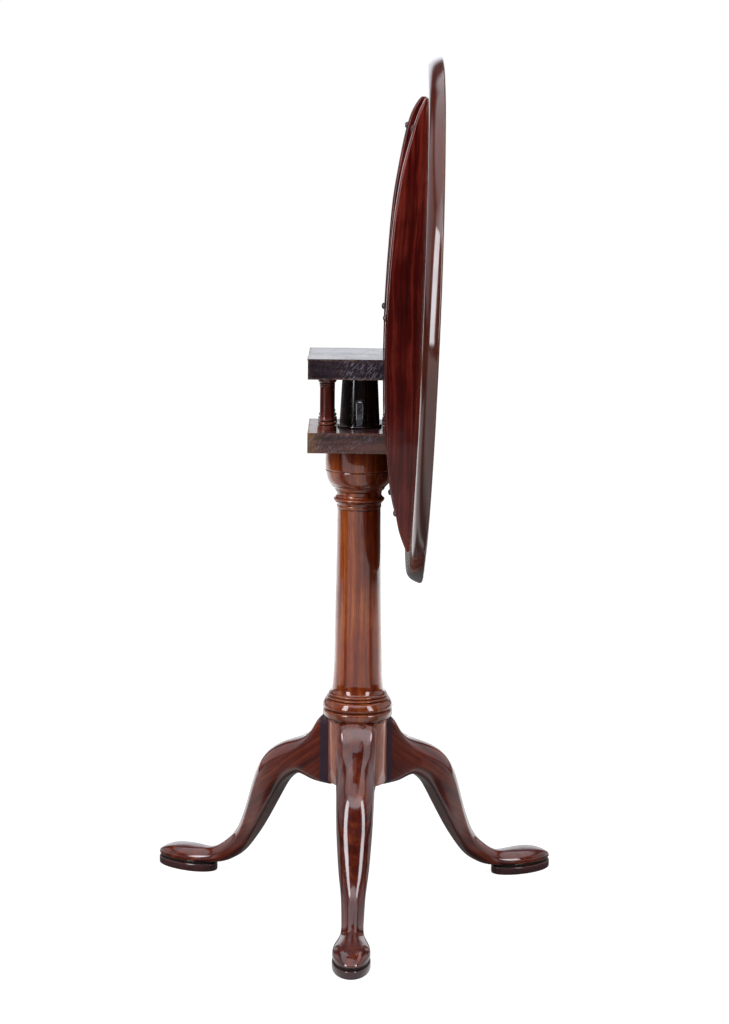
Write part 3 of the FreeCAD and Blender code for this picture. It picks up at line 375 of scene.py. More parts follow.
def carved(mesh, cutters, arris=0.0):
    """A mesh less its cutters, with its sharp edges eased by arris."""
    thing = placed("carving", mesh)
    tools = [placed("cutter", cutter) for cutter in cutters]
    for tool in tools:
        cut = thing.modifiers.new("cut", "BOOLEAN")
        cut.operation = "DIFFERENCE"
        cut.solver = "EXACT"
        cut.object = tool
    if arris:
        ease = thing.modifiers.new("arris", "BEVEL")
        ease.width = arris
        ease.segments = 3
        ease.limit_method = "ANGLE"
        ease.angle_limit = math.radians(42)
        ease.miter_outer = "MITER_ARC"
        ease.harden_normals = True
    result = settled(thing)
    for tool in tools:
        bpy.data.objects.remove(tool)
    return result


def sawn_copy(node, arris):
    """A CAD node's mesh made whole, its flat faces joined and its edges eased by arris."""
    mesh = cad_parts[node].data.copy()
    mesh.transform(Matrix.Scale(1 / MM, 4))
    work = bmesh.new()
    work.from_mesh(mesh)
    bmesh.ops.remove_doubles(work, verts=work.verts, dist=0.001)
    bmesh.ops.dissolve_limit(work, angle_limit=math.radians(0.5), verts=work.verts, edges=work.edges)
    work.to_mesh(mesh)
    work.free()
    return carved(mesh, [], arris)


def field_of(items, field, width, kind=float):
    """One field of a mesh's points or edges, as an array with a row for each."""
    values = np.empty(len(items) * width, kind)
    items.foreach_get(field, values)
    return values.reshape(-1, width)


def hand_worked(mesh, amount, length, seed):
    """The slight unevenness of hand work: the surface moves by amount over about length."""
    start = Vector((seed * 17.3, seed * 5.1, seed * 9.7))
    for vertex, normal in zip(mesh.vertices, field_of(mesh.vertices, "normal", 3)):
        lift = noise.noise(vertex.co / length + start) + 0.5 * noise.noise(vertex.co / length * 2.3 - start)
        vertex.co += Vector(normal) * (amount * lift)
    mesh.update()


def mark_relief(mesh, radius=1.2, rounds=2):
    """Store on each point how far it stands on an outer edge, up to 1, or in a hollow, down to -1."""
    places, normals = (field_of(mesh.vertices, field, 3) for field in ("co", "normal"))
    pairs = field_of(mesh.edges, "vertices", 2, int)
    first, second = pairs.T
    count = len(places)
    way = places[second] - places[first]
    length = np.maximum(np.sum(way**2, 1), 1e-6)
    bend = np.sum((normals[second] - normals[first]) * way, 1) / length * radius
    high, low = np.zeros(count), np.zeros(count)
    for end in (first, second):
        np.maximum.at(high, end, bend)
        np.minimum.at(low, end, bend)
    relief = np.clip(high, 0, 1) - np.clip(-low, 0, 1)
    degree = np.maximum(np.bincount(pairs.ravel(), minlength=count), 1)
    for _ in range(rounds):
        spread = np.bincount(first, relief[second], count) + np.bincount(second, relief[first], count)
        relief = (relief + spread / degree) / 2
    layer = mesh.attributes.new("relief", "FLOAT", "POINT")
    layer.data.foreach_set("value", relief.astype(np.float32))


# Shader and geometry nodes
def operation(name):
    """A method of a wire that adds one Math node."""
    return lambda wire, *others: wire.maths(name, wire, *others)


class Wire:
    """A node's output that adds Math nodes when it is used in an expression."""

    __add__ = __radd__ = operation("ADD")
    __mul__ = __rmul__ = operation("MULTIPLY")
    __sub__ = operation("SUBTRACT")
    __truediv__ = operation("DIVIDE")
    __pow__ = operation("POWER")
    __abs__ = operation("ABSOLUTE")
    least = operation("MINIMUM")
    most = operation("MAXIMUM")

    def __init__(self, board, socket):
        self.board = board
        self.socket = socket

    def maths(self, name, *values):
        return self.board.node("ShaderNodeMath", dict(enumerate(values)), operation=name)

    def __rsub__(self, other):
        return self.maths("SUBTRACT", other, self)

    def __neg__(self):
        return self * -1

    def ramp(self, low, high, to_low=0.0, to_high=1.0):
        """A smooth step from to_low, where this is low, to to_high, where it is high."""
        sockets = {"Value": self, "From Min": low, "From Max": high, "To Min": to_low, "To Max": to_high}
        return self.board.node("ShaderNodeMapRange", sockets, interpolation_type="SMOOTHSTEP")

    def fade(self, low, high):
        return self.ramp(low, high, 1.0, 0.0)

    def band(self, rise, fall):
        """One between two ranges, rising smoothly over the first and falling over the second."""
        return self.ramp(*rise) * self.fade(*fall)


class Board:
    """A node tree to which nodes are added one call at a time."""

    def __init__(self, tree):
        self.tree = tree
        self.tree.nodes.clear()

    def node(self, kind, sockets=None, result=0, **settings):
        """Add a node with its settings, then its sockets' values and links, and give one output."""
        made = self.tree.nodes.new(kind)
        for name, value in settings.items():
            if name == "stops":
                self.lay_stops(made.color_ramp, value)
            elif name == "curve":
                self.lay_curve(made.mapping, value)
            else:
                setattr(made, name, value)
        for name, value in (sockets or {}).items():
            if isinstance(value, Wire):
                self.tree.links.new(value.socket, made.inputs[name])
            else:
                made.inputs[name].default_value = value
        if not made.outputs:
            return None
        return Wire(self, made.outputs[result])

    @staticmethod
    def lay_stops(ramp, stops):
        while len(ramp.elements) < len(stops):
            ramp.elements.new(1)
        for element, (place, colour) in zip(ramp.elements, stops):
            element.position = place
            element.color = (*colour, 1)

    @staticmethod
    def lay_curve(mapping, points):
        line = mapping.curves[0]
        while len(line.points) < len(points):
            line.points.new(1, 1)
        for point, place in zip(line.points, points):
            point.location = place
            point.handle_type = "AUTO_CLAMPED"
        mapping.update()

    def colour(self, low, high, share):
        """A colour between two colours."""
        low, high = (rgba(part) if isinstance(part, tuple) else part for part in (low, high))
        sockets = {0: share, 6: low, 7: high}
        return self.node("ShaderNodeMix", sockets, 2, data_type="RGBA", clamp_factor=True)

    def vector(self, name, *values, result=0):
        return self.node("ShaderNodeVectorMath", dict(enumerate(values)), result, operation=name)

    def noise(self, place, scale, detail=2.0, roughness=0.5, result="Fac"):
        sockets = {"Vector": place, "Scale": scale, "Detail": detail, "Roughness": roughness}
        return self.node("ShaderNodeTexNoise", sockets, result)

    def place(self, kind="Object"):
        return self.node("ShaderNodeTexCoord", result=kind)

    def parts(self, vector):
        made = self.node("ShaderNodeSeparateXYZ", {0: vector}).socket.node
        return [Wire(self, output) for output in made.outputs]

    def rays(self):
        """Wires that are one for rays from the camera, and for rays that a polish reflects."""
        path = self.node("ShaderNodeLightPath").socket.node
        camera, glossy, through = (
            Wire(self, path.outputs[f"Is {kind} Ray"]) for kind in ("Camera", "Glossy", "Transmission")
        )
        return camera, glossy.most(through)

    def glow(self, colour, strength):
        return self.node("ShaderNodeEmission", {"Color": rgba(colour), "Strength": strength})

    def principled(self, sockets):
        self.surface(self.node("ShaderNodeBsdfPrincipled", sockets))

    def surface(self, shader):
        self.node("ShaderNodeOutputMaterial", {"Surface": shader})


def rgba(colour):
    return (*colour, 1.0)


def new_material(name):
    material = bpy.data.materials.new(name)
    material.use_nodes = True
    return material, Board(material.node_tree)


def mahogany(
    name, grain, dark, middle, light, pith=(0.05, 0.03, 0.0), figure=1.0, coat=1.0, rough=0.34, wear=0.6,
    haze=0.5, relief=True, edges=None, scuffs=0.0, scuffed=None, rim=None, root=None, foot=None, stain=None,
    ends=None,
):
    """Polished old mahogany. The grain runs along the given direction, and pith sets the
    middle of its rings aside from the object's origin."""
    material, board = new_material(name)
    place = board.place()
    turn = Vector(grain).normalized().rotation_difference(Vector((0, 0, 1))).to_euler()
    wood = board.node("ShaderNodeMapping", {"Vector": place, "Location": pith, "Rotation": turn})
    drift = board.vector("SUBTRACT", board.noise(wood, 7.0, 1.0, result="Color"), (0.5, 0.5, 0.5))
    wandering = board.vector("ADD", wood, board.vector("MULTIPLY", drift, (0.016, 0.016, 0.0)))

    def fibres(lengthwise, scale, detail, roughness=0.5, source=wandering):
        """Noise drawn out along the grain, the longer the smaller lengthwise is."""
        return board.noise(board.vector("MULTIPLY", source, (1, 1, lengthwise)), scale, detail, roughness)

    radius = board.vector("LENGTH", board.vector("MULTIPLY", wandering, (1, 1, 0)), result="Value")
    growth = {"W": radius, "Scale": 160.0, "Detail": 3.0}
    rings = board.node("ShaderNodeTexNoise", growth, noise_dimensions="1D")
    ribbon = fibres(0.05, 95.0, 3.0)
    streak = fibres(0.03, 420.0, 3.0, 0.6)
    mottle = fibres(0.6, 38.0, 2.0)
    pores = fibres(0.05, 1500.0, 2.0, source=wood).ramp(0.6, 0.7)
    tone = 0.5 + (rings - 0.5) * (0.9 * figure) + (ribbon - 0.5) * (1.1 * figure) + (streak - 0.5) * 0.7
    tone = tone + (mottle - 0.5) * (0.6 * figure)
    patches = board.noise(place, 26.0, 4.0, 0.65)
    breaks = board.noise(place, 170.0, 3.0, 0.6)
    satin, worn, grime_and_shade = 0.0, 0.0, 0.0
    if rim:
        # The rim shows end grain, darker and plainer than the face, and the face has less gloss
        centre, reach, facing = rim
        from_centre = board.vector("SUBTRACT", place, centre)
        outer = board.vector("LENGTH", from_centre, result="Value").ramp(*reach)
        rise = board.vector("DOT_PRODUCT", from_centre, facing, result="Value")
        satin = rise.ramp(0.006, 0.009) * (1 - outer)
        plain = 0.38 + (board.noise(place, 20.0, 3.0) - 0.5) * 0.35 + (breaks - 0.5) * 0.12
        tone = tone + (plain - tone) * outer
    stops = [(0.22, dark), (0.5, middle), (0.78, light)]
    colour = board.node("ShaderNodeValToRGB", {0: tone}, stops=stops)
    colour = board.colour(colour, tuple(0.35 * part for part in dark), pores * 0.55)
    if relief:
        raised = board.node("ShaderNodeAttribute", result="Fac", attribute_name="relief")
        # The hollows are painted darker, with a thinner coat, partly as grime and partly as painted shade
        grime_and_shade = (-raised).ramp(0.08, 0.7) * breaks.ramp(0.25, 0.6)
        colour = board.colour(colour, (0.012, 0.006, 0.004), grime_and_shade * 0.85)
        worn = raised.ramp(0.2, 0.9) * (patches + breaks).ramp(0.75, 1.15) * wear
    if edges:
        centre, half = edges
        shifted = board.vector("ABSOLUTE", board.vector("SUBTRACT", place, centre))
        x, y, z = [(limit - part).fade(0.0005, 0.0035) for limit, part in zip(half, board.parts(shifted))]
        near_edge = (x * y).most(y * z).most(x * z)
        worn = near_edge * (patches + breaks).ramp(0.8, 1.2) * wear
    if relief or edges:
        rubbed = tuple(0.5 * (part + bright) for part, bright in zip(light, (0.5, 0.3, 0.18)))
        colour = board.colour(colour, rubbed, worn * 0.7)
    haze_mask = patches.ramp(0.42, 0.66) * haze
    colour = board.colour(colour, (0.26, 0.15, 0.12), haze_mask * 0.05)
    sideways, _, height = board.parts(place)
    if root:
        # The leg is painted a dark bluish grey where it meets the pillar
        away = board.vector("LENGTH", board.vector("MULTIPLY", place, (1, 1, 0)), result="Value")
        grime_and_shade = away.ramp(*root, 0.92, 0.0)
        colour = board.colour(colour, (0.03, 0.02, 0.034), grime_and_shade)
    if foot:
        # The pad's disc is darker, and the groove over it is painted black as shade
        colour = board.colour(colour, (0.04, 0.024, 0.03), height.ramp(*foot[0], 0.75, 0.0))
        groove = height.band(*foot)
        colour = board.colour(colour, (0.004, 0.002, 0.002), groove * 0.95)
        grime_and_shade = groove + height.ramp(*foot[0], 0.45, 0.0) + grime_and_shade
    if stain:
        # The band over the drum is browner, and the torus, rings and flare over it are a darker red
        banded = height.band(stain[0], stain[1]) * patches.ramp(0.35, 0.6, 0.75, 0.35)
        colour = board.colour(colour, (0.085, 0.028, 0.02), banded)
        banded = height.band(stain[1], stain[2]) * patches.ramp(0.4, 0.6, 0.7, 0.35)
        colour = board.colour(colour, (0.08, 0.012, 0.003), banded)
    if ends:
        # The end grain is worn down to paler wood
        paler = sideways.fade(*ends) * breaks.ramp(0.35, 0.6, 0.35, 1.0)
        colour = board.colour(colour, (0.2, 0.105, 0.038), paler * 0.85)
    roughness = rough + (streak - 0.5) * 0.12 + haze_mask * 0.12 + worn * 0.2 + satin * 0.25
    cover = (coat - haze_mask * 0.25 - worn * 0.5 - pores * 0.15 - grime_and_shade * 0.7) * (1 - satin * 0.95)
    if scuffs:
        turning = {"Vector": place, "Rotation": (0.2, 0.62, 0.1), "Scale": (1, 1, 6)}
        slant = board.node("ShaderNodeMapping", turning, vector_type="TEXTURE")
        marks = board.noise(slant, 700.0, 3.0, 0.7).ramp(0.5, 0.66) * patches.ramp(0.36, 0.52) * scuffs
        if scuffed:
            distance = board.vector("DISTANCE", place, scuffed[0], result="Value")
            marks = marks * distance.ramp(*scuffed[1], 1.0, 0.15)
        colour = board.colour(colour, (0.36, 0.36, 0.46), marks * 0.6)
        roughness = roughness + marks * 0.25
    uneven = board.noise(place, 60.0, 3.0, 0.55) * 0.5 + streak * 0.12 - pores * 0.1
    board.principled({
        "Base Color": colour,
        "Roughness": roughness,
        "IOR": 1.5,
        "Specular IOR Level": 0.1,
        "Normal": board.node("ShaderNodeBump", {"Strength": 0.5, "Distance": 0.0006, "Height": uneven}),
        "Coat Weight": cover,
        "Coat Roughness": 0.06,
        "Coat IOR": 1.6,
    })
    return material


def metal(name, bright, dull, metallic, rough, spots):
    """A worn metal: dull patches and fine scratches over a brighter ground."""
    material, board = new_material(name)
    place = board.place()
    cloud = board.noise(place, 140.0, 5.0, 0.65)
    fine = board.noise(board.vector("MULTIPLY", place, (1, 0.08, 1)), 2600.0, 2.0)
    tarnish = (cloud + (fine - 0.5) * 0.3).ramp(0.5 - spots / 2, 0.72)
    uneven = {"Strength": 0.35, "Distance": 0.0001, "Height": cloud + fine * 0.3}
    board.principled({
        "Base Color": board.colour(bright, dull, tarnish),
        "Metallic": metallic - tarnish * (metallic * 0.5),
        "Roughness": rough + tarnish * 0.3 + (fine - 0.5) * 0.1,
        "Normal": board.node("ShaderNodeBump", uneven),
    })
    return material


# Tones of the wood, linear: dark, middle and light
SHAFT_TONES = ((0.13, 0.012, 0.0015), (0.25, 0.038, 0.004), (0.4, 0.1, 0.018))
# The front leg's tones are darker than the side legs', as painted shade on its front
FRONT_LEG_SHADED_TONES = ((0.03, 0.0015, 0.001), (0.066, 0.006, 0.002), (0.16, 0.026, 0.006))
LEG_TONES = ((0.04, 0.002, 0.001), (0.095, 0.008, 0.002), (0.19, 0.03, 0.007))
BEARER_TONES = ((0.032, 0.0015, 0.001), (0.068, 0.003, 0.002), (0.16, 0.018, 0.01))
BLOCK_TONES = ((0.022, 0.004, 0.003), (0.052, 0.009, 0.008), (0.1, 0.028, 0.02))
UPPER_TONES = ((0.008, 0.005, 0.008), (0.02, 0.012, 0.018), (0.05, 0.03, 0.036))
SPIGOT_TONES = ((0.006, 0.002, 0.002), (0.014, 0.005, 0.006), (0.03, 0.01, 0.012))
COLONNETTE_TONES = ((0.03, 0.003, 0.002), (0.065, 0.007, 0.004), (0.13, 0.02, 0.012))
WEDGE_TONES = ((0.03, 0.03, 0.045), (0.07, 0.07, 0.1), (0.14, 0.14, 0.18))
TOP_TONES = ((0.03, 0.004, 0.002), (0.075, 0.012, 0.005), (0.15, 0.036, 0.014))
ROOT_REACH = (0.044, 0.0475)
STAIN_HEIGHTS = ((0.2385, 0.2405), (0.25, 0.252), (0.27, 0.298))
WORN_END = (-0.06, -0.043)
FOOT_HEIGHTS = ((0.0096, 0.0106), (0.0138, 0.015))
SCUFFED = ((0.01, -0.0635, 0.685), (0.018, 0.042))
UPRIGHT = (0.0, 0.0, 1.0)
TOP_GRAIN = (0.0, 1.0, 0.04)
BLOCK_GRAIN = (1.0, 0.02, 0.0)


def leg_grain(angle):
    """The grain of a leg runs straight from its knee down to its foot."""
    way = math.radians(angle)
    return (math.cos(way), math.sin(way), -0.75)


def block_edges(bottom, top):
    middle = (bottom + top) / 2 * MM
    return (0.0, 0.0, middle), (BLOCK_HALF * MM, BLOCK_HALF * MM, (top - bottom) / 2 * MM)


pillar_wood = mahogany(
    "mahogany_pillar", UPRIGHT, *SHAFT_TONES, pith=(0.012, 0.02, 0.0), haze=0.8, stain=STAIN_HEIGHTS,
)
bearer_wood = mahogany(
    "mahogany_bearer", (0.02, 0.0, 1.0), *BEARER_TONES, pith=(0.1, 0.05, 0.0), rough=0.3, haze=0.2, coat=0.35,
)
colonnette_wood = mahogany(
    "mahogany_colonnette", UPRIGHT, *COLONNETTE_TONES, pith=(0.02, 0.01, 0.0), coat=0.6, haze=0.2,
)
spigot_wood = mahogany("mahogany_spigot", UPRIGHT, *SPIGOT_TONES, pith=(0.02, 0.04, 0.0), relief=False)
upper_wood = mahogany(
    "mahogany_upper_block", BLOCK_GRAIN, *UPPER_TONES, pith=(0.0, 0.08, 0.1), relief=False,
    edges=block_edges(UPPER_BLOCK_BOTTOM, UPPER_BLOCK_TOP), scuffs=1.0, scuffed=SCUFFED, figure=0.5,
    coat=0.75,
)
lower_wood = mahogany(
    "mahogany_lower_block", BLOCK_GRAIN, *BLOCK_TONES, pith=(0.0, 0.1, 0.07), relief=False,
    edges=block_edges(LOWER_BLOCK_BOTTOM, LOWER_BLOCK_TOP), scuffs=0.5, coat=0.6, ends=WORN_END,
)
wedge_wood = mahogany(
    "mahogany_wedge", (0.0, 1.0, 0.0), *WEDGE_TONES, relief=False, scuffs=1.0, rough=0.45, coat=0.5,
)
TOP_MIDDLE = tuple(TILTED @ Vector((-HINGE.x, 0, UNDERSIDE + TOP_THICKNESS / 2)) * MM)
TOP_FACING = tuple(TILTED.to_3x3() @ Vector((0, 0, 1)))
RIM_REACH = ((TOP_RADIUS - RIM_ROUND) * MM, (TOP_RADIUS - RIM_ROUND / 2) * MM)
top_wood = mahogany(
    "mahogany_top", TOP_GRAIN, *TOP_TONES, pith=(0.11, 0.0, -0.74), figure=0.8, rough=0.3,
    rim=(TOP_MIDDLE, RIM_REACH, TOP_FACING),
)
brass = metal("brass_old", (0.7, 0.5, 0.22), (0.16, 0.1, 0.045), metallic=1.0, rough=0.26, spots=0.25)
iron = metal("iron_old", (0.1, 0.085, 0.08), (0.035, 0.022, 0.018), metallic=0.9, rough=0.38, spots=0.3)


# Finished pieces
def finish_piece(name, mesh, body, slot_name, material, *nodes, level=False, sharp=35.0, relief=True):
    """Put a mesh drawn in millimetres in its place, with its material, body and CAD nodes."""
    if relief:
        mark_relief(mesh)
    if level:
        mesh.transform(TILTED)
    mesh.transform(Matrix.Scale(MM, 4))
    mesh.materials.clear()
    mesh.materials.append(material)
    if sharp:
        mesh.polygons.foreach_set("use_smooth", [True] * len(mesh.polygons))
        mesh.set_sharp_from_angle(angle=math.radians(sharp))
    mesh.update()
    thing = placed(name, mesh)
    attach(thing, body)
    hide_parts(*nodes)


# Pillar
def flattened(angles, reach, middle, distance):
    """A ring cut back to a flat at a distance from the axis, facing the middle angle."""
    swing = (angles - math.radians(middle) + math.pi) % (2 * math.pi) - math.pi
    return np.where(np.abs(swing) < 1, np.minimum(reach, distance / np.cos(swing)), reach)


def facet_trim(angles, reach, height):
    """Three flats, over the legs' gaps, that fade upwards from the foot of the base."""
    fade = np.clip((height - BASE_BOTTOM) / FACET_HEIGHT, 0, 1)
    if fade < 1:
        for middle in FACET_ANGLES:
            reach = flattened(angles, reach, middle, DRUM_RADIUS - FACET_DEPTH * (1 - fade))
    return reach


def pillar_outline():
    """The turned outline, from the middle of the foot up to the middle of the shoulder."""
    outline = [(0, BASE_BOTTOM), (DRUM_RADIUS / 2, BASE_BOTTOM), (DRUM_RADIUS - BASE_ARRIS, BASE_BOTTOM)]
    outline += [(DRUM_RADIUS, height) for height in np.linspace(BASE_BOTTOM + BASE_ARRIS, DRUM_TOP, 60)]
    for row in PILLAR_MOULDINGS:
        points = list(moulding(*row))
        if np.allclose(points[0], outline[-1]):
            points = points[1:]
        outline += points
    outline += [(SCORE_RADIUS, SHOULDER), (JOURNAL_RADIUS, SHOULDER), (0, SHOULDER)]
    return eased_corners(np.array(outline), radius=0.35)


def make_pillar():
    mesh = turned("pillar_turned", pillar_outline(), segments=192, trim=facet_trim)
    hand_worked(mesh, amount=0.09, length=34.0, seed=1)
    for vertex in mesh.vertices:
        vertex.co.x += PILLAR_LEAN * (LEAN_TOP - vertex.co.z)
    finish_piece("pillar_turned", mesh, "stand", "mahogany", pillar_wood, "pillar")


def slot_cutter(width, front, back, top):
    """A cutter for the wedge's slot, its upper corners rounded."""
    slot = block("slot", (-width / 2, front, SLOT_BOTTOM), (width / 2, back, top))
    work = bmesh.new()
    work.from_mesh(slot)
    upper = [edge for edge in work.edges if all(vertex.co.z > top - 1 for vertex in edge.verts)]
    lengthwise = [edge for edge in upper if abs(edge.verts[0].co.y - edge.verts[1].co.y) > 1]
    bmesh.ops.bevel(work, geom=lengthwise, offset=SLOT_CORNER, segments=8, profile=0.5, affect="EDGES")
    work.to_mesh(slot)
    work.free()
    return slot


def make_spigot():
    """The tapered spigot over the shoulder, flat to the front and slotted for the wedge."""

    def taper(height):
        share = max(0.0, (height - RING_TOP) / (SPIGOT_TOP - RING_TOP))
        return JOURNAL_RADIUS + share * (SPIGOT_TOP_RADIUS - JOURNAL_RADIUS)

    def flat(angles, reach, height):
        share = (height - RING_TOP) / (SPIGOT_TOP - RING_TOP)
        if share <= 0 or share > FLAT_END_SHARE:
            return reach
        return flattened(angles, reach, -90, taper(height) - FLAT_DEPTH)

    heights = [SPIGOT_FOOT, RING_TOP, *np.linspace(RING_TOP + 2, SPIGOT_TOP, 30)]
    outline = [(0, SPIGOT_FOOT), *((taper(height), height) for height in heights), (0, SPIGOT_TOP)]
    mesh = turned("spigot", outline, segments=128, trim=flat)
    slot = slot_cutter(SLOT_WIDTH, -SLOT_REACH, SLOT_REACH, SLOT_TOP)
    mouth = slot_cutter(SLOT_MOUTH_WIDTH, -SLOT_REACH, -SLOT_MOUTH_DEPTH, SLOT_MOUTH_TOP)
    mesh = carved(mesh, [slot, mouth], arris=0.3)
    finish_piece("spigot", mesh, "stand", "mahogany", spigot_wood, "pillar", relief=False)


def make_collar_ring():
    bore = JOURNAL_RADIUS + 0.1
    rounded = [(0.0, 0.0), (0.6, 0.5), (0.9, 1.3), (0.7, 2.2), (0.2, 2.8), (-0.3, 3.0)]
    outline = [(RING_RADIUS + out, RING_BOTTOM + up) for out, up in rounded]
    outline = [(bore, RING_BOTTOM), *outline, (bore, RING_TOP), (bore, RING_BOTTOM)]
    mesh = turned("collar_ring", outline, segments=128)
    finish_piece("collar_ring_turned", mesh, "stand", "mahogany", spigot_wood, "collar_ring", relief=False)


# Legs
def leg_section(station):
    """One station's ring of points: a rounded bar with a crowned top, full sides and a sole at the foot."""
    up_x, up_z, low_x, low_z, width, corner, crown, belly, sole = station
    upper, lower = np.array((up_x, up_z)), np.array((low_x, low_z))
    height = np.linalg.norm(upper - lower)
    rise = (upper - lower) / height
    half_height, half_width = height / 2, width / 2
    radius = corner * min(height, width)
    flat = []
    for quarter, (side, edge) in enumerate(((1, 1), (-1, 1), (-1, -1), (1, -1))):
        rounding = radius
        if edge < 0:
            rounding *= 1 - sole
        for turn in np.linspace(0, 1, CORNER_POINTS):
            angle = (quarter + turn) * math.pi / 2
            flat.append((
                side * (half_width - rounding) + rounding * math.cos(angle),
                edge * (half_height - rounding) + rounding * math.sin(angle),
            ))
    ring = []
    for number, (across, along) in enumerate(flat):
        following = flat[(number + 1) % len(flat)]
        steps = 1
        if number % CORNER_POINTS == CORNER_POINTS - 1:
            steps = SIDE_POINTS
        for share in np.arange(steps) / steps:
            ring.append((across + share * (following[0] - across), along + share * (following[1] - along)))
    centre = (upper + lower) / 2
    points = []
    for across, along in ring:
        lift = along
        if along > 0:
            lift = along - crown * (across / half_width) ** 2 * along / half_height
        across = across * (1 - belly * (along / half_height) ** 2)
        points.append((centre[0] + rise[0] * lift, across, centre[1] + rise[1] * lift))
    return points


def make_pad():
    """The oval pad under a foot, with eased edges and a groove round its top."""
    rim = PAD_THICKNESS
    steps = [
        (3.0, 0.0), (1.4, 0.25), (0.5, 0.9), (0.1, 2.0), (0.0, rim / 2), (0.1, rim - 2.2), (0.5, rim - 1.2),
        (1.2, rim - 0.7), (2.6, rim - 0.5), (PAD_GROOVE * 2, rim - 0.3),
        (PAD_GROOVE * 2, rim + PAD_GROOVE_HEIGHT), (PAD_GROOVE * 3, rim + PAD_GROOVE_HEIGHT + 1.5),
    ]
    rings = []
    for inset, height in steps:
        length, width = (PAD_LENGTH - inset) / 2, (PAD_WIDTH - inset) / 2
        rings.append([
            (FOOT_REACH + length * math.cos(angle), width * math.sin(angle), height)
            for angle in np.linspace(0, 2 * math.pi, 96, endpoint=False)
        ])
    return ringed("pad", rings)


def leg_stations():
    reach = FOOT_REACH - BASE_RADIUS
    places, crowns, bellies, soles = zip(*LEG_FORM)
    stations = []
    for up_reach, up_height, low_reach, low_height, width, corner in LEG_STATION_SHARES:
        stations.append((
            BASE_RADIUS + up_reach * reach,
            PAD_THICKNESS + up_height * (LEG_TOP - PAD_THICKNESS),
            BASE_RADIUS + low_reach * reach,
            PAD_THICKNESS + low_height * (LEG_BOTTOM - PAD_THICKNESS),
            width * LEG_WIDTH,
            corner,
            *(np.interp(up_reach, places, form) for form in (crowns, bellies, soles)),
        ))
    return spline(stations, step=3.0)


def merged(name, meshes):
    work = bmesh.new()
    for mesh in meshes:
        work.from_mesh(mesh)
    result = bpy.data.meshes.new(name)
    work.to_mesh(result)
    work.free()
    return result


def make_legs():
    bar = ringed("leg_bar", [leg_section(station) for station in leg_stations()])
    pad = make_pad()
    for number, (name, angle) in enumerate(LEG_ANGLES.items()):
        mesh = merged(f"{name}_carved", [bar, pad])
        turn = Matrix.Rotation(math.radians(angle), 4, "Z")
        mesh.transform(Matrix.Translation((LEG_SHIFTS[name], 0, 0)) @ turn)
        hand_worked(mesh, amount=0.16, length=30.0, seed=number + 3)
        for vertex in mesh.vertices:
            vertex.co.z = max(vertex.co.z, 0.0)
        root, tones = ROOT_REACH, LEG_TONES
        # The front leg takes the darker tones of painted shade
        if name == "leg_front":
            root, tones = None, FRONT_LEG_SHADED_TONES
        wood = mahogany(
            f"mahogany_{name}", leg_grain(angle), *tones, pith=(0.03 + 0.01 * number, 0.02, 0.0), figure=0.6,
            haze=0.6, root=root, foot=FOOT_HEIGHTS,
        )
        finish_piece(f"{name}_carved", mesh, "stand", "mahogany", wood, name)


# Cage
def make_blocks():
    for name, body, wood, arris in (
        ("lower_block", "cage", lower_wood, 0.9), ("upper_block", "cage", upper_wood, 0.9),
        ("wedge", "wedge", wedge_wood, 0.5),
    ):
        mesh = sawn_copy(name, arris)
        finish_piece(f"{name}_planed", mesh, body, "mahogany", wood, name, sharp=0, relief=False)


def new_geometry_tree(name, inputs):
    """A geometry tree with named inputs, and the wires that leave its input node."""
    tree = bpy.data.node_groups.new(name, "GeometryNodeTree")
    sides = {"Geometry": ("NodeSocketGeometry", None), **inputs, "Material": ("NodeSocketMaterial", None)}
    for label, (kind, value) in sides.items():
        socket = tree.interface.new_socket(label, in_out="INPUT", socket_type=kind)
        if value is not None:
            socket.default_value = value
    tree.interface.new_socket("Geometry", in_out="OUTPUT", socket_type="NodeSocketGeometry")
    board = Board(tree)
    start = board.node("NodeGroupInput").socket.node
    wires = {output.name: Wire(board, output) for output in start.outputs if output.name}
    return tree, board, wires


def give_out(board, instances, material):
    """Make instances real, coat them and hand them out of their tree."""
    whole = board.node("GeometryNodeRealizeInstances", {"Geometry": instances})
    coated = board.node("GeometryNodeSetMaterial", {"Geometry": whole, "Material": material})
    board.node("NodeGroupOutput", {"Geometry": coated})


def repeated(name, tree, points, values):
    """Run a geometry tree on points, with its named inputs set, and return the plain mesh."""
    mesh = bpy.data.meshes.new(name)
    mesh.from_pydata([tuple(point) for point in points], [], [])
    thing = placed(name, mesh)
    maker = thing.modifiers.new("maker", "NODES")
    maker.node_group = tree
    for item in tree.interface.items_tree:
        if item.in_out == "INPUT" and item.name in values:
            maker[item.identifier] = values[item.name]
    return settled(thing)


def colonnette_tree():
    """Turned colonnettes on points: a profile's radius along an upright line, swept round."""
    inputs = {
        "Height": ("NodeSocketFloat", UPPER_BLOCK_BOTTOM - LOWER_BLOCK_TOP),
        "Radius": ("NodeSocketFloat", COLONNETTE_RADIUS),
        "Steps": ("NodeSocketInt", 190),
        "Sides": ("NodeSocketInt", 64),
    }
    tree, board, given = new_geometry_tree("turned_colonnettes", inputs)
    top = board.node("ShaderNodeCombineXYZ", {"Z": given["Height"]})
    line = board.node("GeometryNodeCurvePrimitiveLine", {"Start": (0, 0, 0), "End": top})
    line = board.node("GeometryNodeResampleCurve", {"Curve": line, "Count": given["Steps"]})
    along = board.node("GeometryNodeSplineParameter", result="Factor")
    share = board.node("ShaderNodeFloatCurve", {"Value": along}, curve=COLONNETTE_SHARES)
    ring = board.node("GeometryNodeCurvePrimitiveCircle", {"Resolution": given["Sides"], "Radius": 1.0})
    sockets = {"Curve": line, "Profile Curve": ring, "Scale": share * given["Radius"], "Fill Caps": True}
    turning = board.node("GeometryNodeCurveToMesh", sockets)
    sockets = {"Points": given["Geometry"], "Instance": turning}
    give_out(board, board.node("GeometryNodeInstanceOnPoints", sockets), given["Material"])
    return tree


